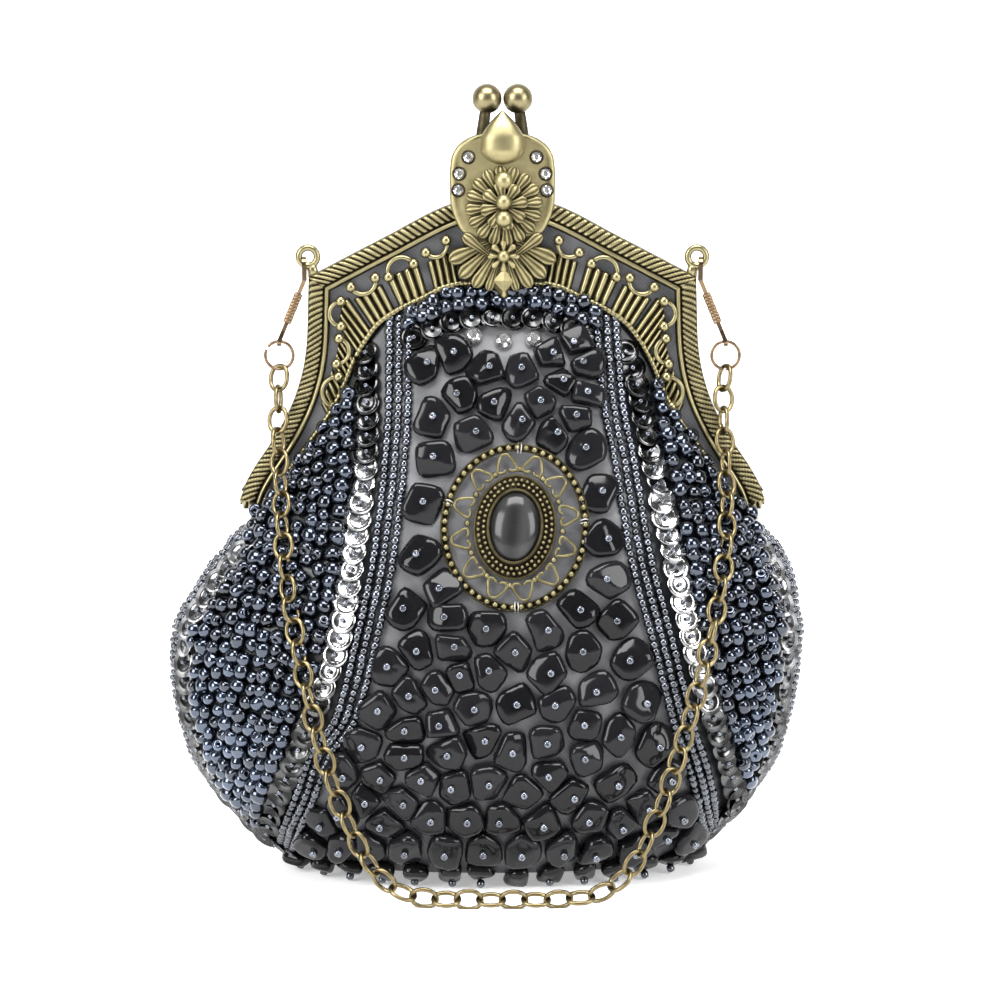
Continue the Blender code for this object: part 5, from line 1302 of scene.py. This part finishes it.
# Kiss-lock balls on their stems
for word, body, side in (("front", FRONT, -1), ("back", BACK, 1)):
    y_foot = side * 1.95
    foot = np.array([side * 7.0, y_foot, 168.6])
    top = np.array([side * 3.8, 0.0, 192.6])
    p, f = sphere(36, 25)
    ball = p * 3.65 + top
    t = np.linspace(0, 1, 12)[:, None]
    slimmer = np.linspace(1.3, 0.9, 12)
    stem = sweep(foot + (top - foot) * t * 0.9, circle(1.5, 14), up=[0, 1, 0], scale=slimmer)
    points, faces = joined([(ball, f), stem])
    dull = np.concatenate([np.zeros(len(ball)), np.full(len(stem[0]), 0.72)])
    obj = put_metal(word + "_lock", body, points, faces, dull, look=LOCK_BRASS)
    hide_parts(word + "_lock_ball")
print("frames, crests and lock done")

# %% [markdown]
# ## The medallion
#
# It is drawn flat with axes a, b and height h, and then laid on the cloth at its centre:
# $P=O+A\,a+B\,b+N\,h$, after a small turn of five degrees.

# %% Medallion
RIM_OVAL = (17.1, 19.6)
STONE_A, STONE_B, STONE_BASE, STONE_RISE = 6.2, 8.5, 1.6, 3.0
centre, normal = on_cloth(np.array([MEDAL[0]]), np.array([MEDAL[1]]))
N = normal[0]
B = np.array([0, 0, 1.0]) - N * N[2]
B /= np.linalg.norm(B)
A = np.cross(B, N)
tilt = math.radians(5)
c, s = math.cos(tilt), math.sin(tilt)
medal_axes = np.stack([A * c - B * s, B * c + A * s, N], 1)


def settle(points):
    """Lay points drawn as (a, b, h) on the cloth at the medallion's place."""
    return centre[0] + points @ medal_axes.T


def oval(a, b, count, start=0.0):
    """Points on an ellipse at an even pitch."""
    t = np.linspace(0, 2 * math.pi, 721)
    line = np.stack([a * np.cos(t), b * np.sin(t)], 1)
    run = running_length(line)
    at = (np.arange(count) + start) / count * run[-1]
    return np.stack([np.interp(at, run, line[:, k]) for k in (0, 1)], 1)


def oval_tube(a, b, radius, height, count=90):
    """An oval of round wire at a height."""
    line = np.column_stack([oval(a, b, count), np.full(count, height)])
    return sweep(line, circle(radius, 8), up=[0, 0, 1], closed=True)


def ball_ring(a, b, count, radius, height, start=0.0):
    """Balls along an oval at a height."""
    at = oval(a, b, count, start)
    axes = np.broadcast_to(np.eye(3), (count, 3, 3))
    return bake(ROUND_BALL, np.column_stack([at, np.full(count, height)]), axes, radius)


LOOP = [(0, 2.25), (.55, 2.15), (1.05, 1.7), (1.6, .6), (2.15, -.8), (2.3, -1.55), (1.95, -2.1), (1.3, -2.1),
        (.75, -1.9), (.5, -1.45)]


def petals():
    """Twelve rounded wire triangles between bezel and rim, narrow outside, ends curled in."""
    parts = []
    half = np.array(LOOP) * [1.05, 1.0]
    line = smooth_line(np.concatenate([half[::-1] * [-1, 1], half[1:]]), 60)
    for number in range(12):
        angle = 2 * math.pi * (number + 0.5) / 12
        mid = np.array([13.3 * math.cos(angle), 15.9 * math.sin(angle)])
        way = np.array([math.cos(angle) * 16.4, math.sin(angle) * 13.9])
        way /= np.linalg.norm(way)
        square = np.array([-way[1], way[0]])
        place = mid + line[:, 1:] * way + line[:, :1] * square
        parts.append(sweep(np.column_stack([place, np.full(60, 1.15)]), circle(0.43, 7), up=[0, 0, 1]))
        between = 2 * math.pi * number / 12
        foot = [11.6 * math.cos(between), 14.3 * math.sin(between), 1.0]
        parts.append((ROUND_BALL[0] * 0.78 + foot, ROUND_BALL[1]))
    return joined(parts)


flat = [(oval_tube(17.9, 20.4, 0.26, 0.7), 0.75), (oval_tube(16.4, 18.9, 0.26, 0.7), 0.8),
        (ball_ring(*RIM_OVAL, 54, 0.80, 1.15), 0.30), (petals(), 0.34),
        (oval_tube(9.8, 12.6, 0.32, 1.2), 0.70),
        (ball_ring(8.9, 11.5, 46, 0.46, 1.95), 0.30), (ball_ring(7.6, 10.3, 42, 0.42, 2.5, 0.5), 0.20),
        (oval_tube(6.55, 8.95, 0.4, 2.8), 0.75)]
band = oval(1, 1, 90)
edges = (((17.9, 20.4, .5), (16.3, 18.8, .5)), ((9.8, 12.6, 1.2), (6.35, 8.7, 2.6)),
         ((9.9, 12.7, .4), (9.8, 12.6, 1.2)))
for pair in edges:
    p = np.concatenate([np.column_stack([band * [a, b], np.full(90, h)]) for a, b, h in pair])
    flat.append(((p, grid_faces(2, 90, wrap=True)), 0.97))
points, faces = joined([shape for shape, _ in flat])
hollow = np.concatenate([np.full(len(shape[0]), dark) for shape, dark in flat])
medallion = put_metal("medallion_relief", FRONT, settle(points), faces, hollow)
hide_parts("medallion_ring", "medallion_bezel")
level = np.linspace(0, math.pi / 2 - 0.02, 14)
turn = np.arange(48) * 2 * math.pi / 48
shrink, rise = np.cos(level)[:, None], np.broadcast_to(np.sin(level)[:, None], (14, 48))
dome = np.stack([STONE_A * shrink * np.cos(turn), STONE_B * shrink * np.sin(turn),
                 STONE_BASE + STONE_RISE * rise], -1).reshape(-1, 3)
u = dome[:, :1] / STONE_A
# Two soft stripes of painted reflection in the stone's colour
glow = 0.018 * np.exp(-((u + .52) / .26) ** 2) + 0.026 * np.exp(-((u - .42) / .30) ** 2)
glow = glow * (1 - 0.6 * u ** 2)
stone_colours_with_painted_stripes = 0.010 + glow * [1, 1, 1.02]
stone = put_mesh("cabochon_dome", settle(dome), grid_faces(14, 48, wrap=True), STONE, colours=stone_colours_with_painted_stripes)
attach(stone, FRONT)
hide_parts("cabochon")
threads = []
for angle in (1.6, 0.15, -1.45, 2.9):
    out = np.array([math.cos(angle), math.sin(angle)]) * RIM_OVAL
    side = np.array([-math.sin(angle), math.cos(angle)])
    for shift in (-0.35, 0.35):
        line = np.array([out * 0.93 + side * shift, out + side * shift * 1.3, out * 1.06 + side * shift])
        line = np.column_stack([line, [0.6, 2.1, 0.2]])
        threads.append(sweep(line, circle(0.17, 6), up=[side[0], side[1], 0]))
tied = put_mesh("medallion_threads", settle(joined(threads)[0]), joined(threads)[1], THREAD)
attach(tied, FRONT)

# Crystals under the arch
for node in ("crystal_left", "crystal_centre", "crystal_right"):
    low, high = [np.array(c) * 1000 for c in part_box(node)]
    mid = (low + high) / 2
    _, n = on_cloth(mid[:1], mid[2:])
    axes = frames_from(n, np.array([[1.0, 0, 0]]))
    cut = brilliant(2.25, 1.9)
    p, f = bake(cut, mid[None] - n * 0.7, axes, 1.0)
    # Painted glints on the crystal, lifted a little brighter
    bright = np.clip(painted_stone_glints(1, len(p), rng) + 0.35, 0, 1)
    gem = put_mesh(node + "_cut", p, f, GEM, False, colours=bright)
    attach(gem, FRONT)
    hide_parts(node)
print("medallion done")

# %% [markdown]
# ## Hooks, rings and chain
#
# The chain follows the CAD chain's route. A link is an oval of round wire whose plane turns
# by a quarter from one link to the next.

# %% Chain
HOOK_X, RING_X, RING_Z, RING_RADIUS = 48.9, 55.3, 129.5, 3.45
VIEW_DISTANCE = 800
HOOK_HIGH, HOOK_LOW, SLEEVE_HIGH, SLEEVE_LOW = 148.2, 132.9, 144.8, 137.6
LINKS, STRETCHES = 60, 10
ROUTE = np.array([(-1.009, .102, .911), (-1.011, .205, .849), (-1.002, .334, .772), (-.995, .175, .680),
                  (-.976, .105, .583), (-.933, .107, .479), (-.879, .157, .371), (-.807, .220, .262),
                  (-.716, .298, .162), (-.604, .460, .074), (-.459, .644, .025), (-.278, .670, .017),
                  (-.090, .672, .017), (.108, .679, .017), (.289, .694, .017), (.463, .690, .026),
                  (.597, .549, .073), (.698, .391, .154), (.781, .306, .247), (.861, .241, .355),
                  (.933, .177, .463), (.984, .121, .564), (1.013, .159, .664), (1.013, .340, .757),
                  (1.002, .211, .842), (.993, .102, .911)])


def chain_line():
    """The chain's centre line as a Catmull-Rom curve through its route."""
    x, z, off = ROUTE[:, 0] * RING_X, ROUTE[:, 2] * RING_Z, ROUTE[:, 1] * BELLY
    x = x * (1 - (surface_out(x, z) + off) / VIEW_DISTANCE)
    y = -(surface_out(x, z) + off)
    bottom = RING_Z - 3.4 + 0.4
    p = np.concatenate([[[-RING_X, EAR_Y, bottom]], np.stack([x, y, z], 1), [[RING_X, EAR_Y, bottom]]])
    e = np.concatenate([[2 * p[0] - p[1]], p, [2 * p[-1] - p[-2]]])
    a, b, c, d = e[:-3, None], e[1:-2, None], e[2:-1, None], e[3:, None]
    t = (np.arange(12) / 12)[None, :, None]
    square, cube = 2 * a - 5 * b + 4 * c - d, 3 * b - a - 3 * c + d
    line = 0.5 * (2 * b + (c - a) * t + square * t ** 2 + cube * t ** 3)
    return np.concatenate([line.reshape(-1, 3), p[-1:]])


line = chain_line()
run = running_length(line)
joints = np.stack([np.interp(np.linspace(0, run[-1], LINKS + 1), run, line[:, k]) for k in range(3)], 1)
print("chain length in mm:", round(float(run[-1]), 1))


def oval_link(start, end, roll, reach=0.46, half=2.4, wire=0.54):
    """One round-wire link between two joints."""
    ahead = end - start
    pitch = np.linalg.norm(ahead)
    ahead /= pitch
    level = np.cross([0, 1.0, 0], ahead)
    level /= np.linalg.norm(level)
    out = np.cross(ahead, level)
    flat = level * math.cos(roll) + out * math.sin(roll)
    square = np.cross(flat, ahead)
    t = np.linspace(0, 2 * math.pi, 29)[:-1]
    long = pitch / 2 + reach
    across = np.sign(np.sin(t)) * np.abs(np.sin(t)) ** 0.85 * half
    along = np.cos(t) * long
    loop = (start + end) / 2 + along[:, None] * ahead + across[:, None] * flat
    return sweep(loop, circle(wire, 8), up=square, closed=True)


each = LINKS // STRETCHES
for stretch in range(STRETCHES):
    links = [oval_link(joints[k], joints[k + 1], math.radians(24 + 90 * (k % 2)) + rng.normal(0, 0.12))
             for k in range(stretch * each, (stretch + 1) * each)]
    node = f"chain_{stretch + 1:02d}"
    obj = put_metal(node + "_links", "chain", *joined(links), look=CHAIN_LOOK, slot="chain_brass")
    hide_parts(node)


def hook_x(z):
    """How far out the slanting hook is at a height."""
    share = np.clip((HOOK_HIGH - z) / (HOOK_HIGH - HOOK_LOW), 0, 1)
    return HOOK_X + (RING_X - HOOK_X) * share


hook_body = {-1: "hook_left", 1: "hook_right"}
for side, word in ((-1, "left"), (1, "right")):
    gap = np.linspace(0.12, 2 * math.pi - 0.12, 70) + (2.6 if side < 0 else 4.6)
    loop = upright_ring((side * RING_X, EAR_Y, RING_Z), RING_RADIUS, gap)
    wire = sweep(loop, circle(0.4, 10), up=[0, 1, 0])
    ring = put_metal(f"ring_{word}_wire", "chain", *wire, look=COPPER, slot="coppery_brass")
    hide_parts("ring_" + word)
    z = np.linspace(SLEEVE_HIGH, SLEEVE_LOW, 110)
    t = np.linspace(0, 1, 110)
    lobe = lobes(t * 9)
    corner = np.array([(-.95, -.6), (-.8, -.85), (.8, -.85), (.95, -.6),
                       (.95, .6), (.8, .85), (-.8, .85), (-.95, .6)])
    route = np.stack([side * hook_x(z), np.full(110, EAR_Y), z], 1)
    p, f = sweep(route, corner, up=[0, 1, 0], scale=0.95 + 0.16 * lobe)
    dark = np.repeat(np.concatenate([[.3], 0.8 * (1 - lobe) ** 1.3, [.3]]), 8)
    sleeve = put_metal(f"hook_sleeve_{word}_ribbed", hook_body[side], p, f, dark, COPPER, "coppery_brass")
    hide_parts("hook_sleeve_" + word)

# %% Finishes of the CAD nodes that stay
KEPT = {"hook_": COPPER, "hinge_": BRASS}
for node, obj in nodes.items():
    for start, look in KEPT.items():
        if node.startswith(start):
            obj.data.materials.clear()
            obj.data.materials.append(look)
print("kept nodes:", sorted(node for node in nodes if node.startswith(tuple(KEPT))))

# %% [markdown]
# ## Floor, light and camera
#
# A pale floor, a white wall behind the bag, and a room that is darker on the camera's side:
# metals and black glass need something dark to mirror, or they turn flat white.

# %% Stage
def backdrop(name, corners, grey, glow):
    """A big sheet between four corners in metres, painted grey and glowing."""
    mesh = bpy.data.meshes.new(name)
    mesh.from_pydata(corners, [], [(0, 1, 2, 3)])
    look = Nodes(name, 0.9, 0.0, (grey, grey, grey))
    look.set(**{"Emission Color": (1, 1, 1, 1), "Emission Strength": glow})
    mesh.materials.append(look.made)
    sheet = bpy.data.objects.new(name, mesh)
    scene.collection.objects.link(sheet)
    return sheet


floor = backdrop("floor", [(-6, -3, 0), (6, -3, 0), (6, 9, 0), (-6, 9, 0)], .93, 0.36)
floor.location.z = -0.0002
floor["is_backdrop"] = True
wall = backdrop("wall", [(-4, 1.3, -.5), (4, 1.3, -.5), (4, 1.3, 3), (-4, 1.3, 3)], .9, 1.0)
wall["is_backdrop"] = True

world = bpy.data.worlds.new("room")
scene.world = world
world.use_nodes = True
tree = world.node_tree
where = tree.nodes.new("ShaderNodeTexCoord")
parts = tree.nodes.new("ShaderNodeSeparateXYZ")
shade = tree.nodes.new("ShaderNodeValToRGB")
tree.links.new(where.outputs["Generated"], parts.inputs[0])
tree.links.new(parts.outputs["Y"], shade.inputs["Fac"])
for element, (at, value) in zip(shade.color_ramp.elements, ((0.0, 0.16), (0.5, 0.30))):
    element.position, element.color = at, (value, value, value * 1.01, 1)
tree.links.new(shade.outputs["Color"], tree.nodes["Background"].inputs["Color"])
tree.nodes["Background"].inputs["Strength"].default_value = 1.0


def soft_light(name, place, aim, size, power):
    """A rectangular soft light turned towards a point, in metres."""
    data = bpy.data.lights.new(name, "AREA")
    data.shape, data.size, data.size_y, data.energy = "RECTANGLE", size[0], size[1], power
    obj = bpy.data.objects.new(name, data)
    scene.collection.objects.link(obj)
    obj.location = place
    way = np.array(aim, float) - np.array(place, float)
    lean_back = math.atan2(math.hypot(way[0], way[1]), -way[2])
    obj.rotation_euler = (lean_back, 0, math.atan2(-way[0], way[1]))
    obj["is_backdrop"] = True


soft_light("left_panel", (-.60, -.55, .42), (0, 0, .1), (.42, .52), 9.0)
soft_light("right_panel", (.62, -.48, .36), (0, 0, .1), (.32, .46), 5.6)
soft_light("top_panel", (0, -.25, .75), (0, 0, .1), (.55, .34), 9.5)

DISTANCE, AIM_HEIGHT, LOOK_DOWN = .8, .093, 8
view = bpy.data.cameras.new("view")
view.sensor_width, view.lens = 36.0, 115.2
view.clip_end = 50
camera = bpy.data.objects.new("view", view)
scene.collection.objects.link(camera)
lift = math.radians(LOOK_DOWN)
camera.location = (-.0006, -DISTANCE * math.cos(lift), AIM_HEIGHT + DISTANCE * math.sin(lift))
camera.rotation_euler = (math.radians(90 - LOOK_DOWN), 0, 0)
camera.rotation_mode = "XYZ"
scene.camera = camera
scene.view_settings.view_transform = "Standard"

# %% Sizes
low, high = [list(map(float, corner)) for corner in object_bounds()]
print("visual box in mm:", np.round(1000 * (np.array(high) - np.array(low)), 1))
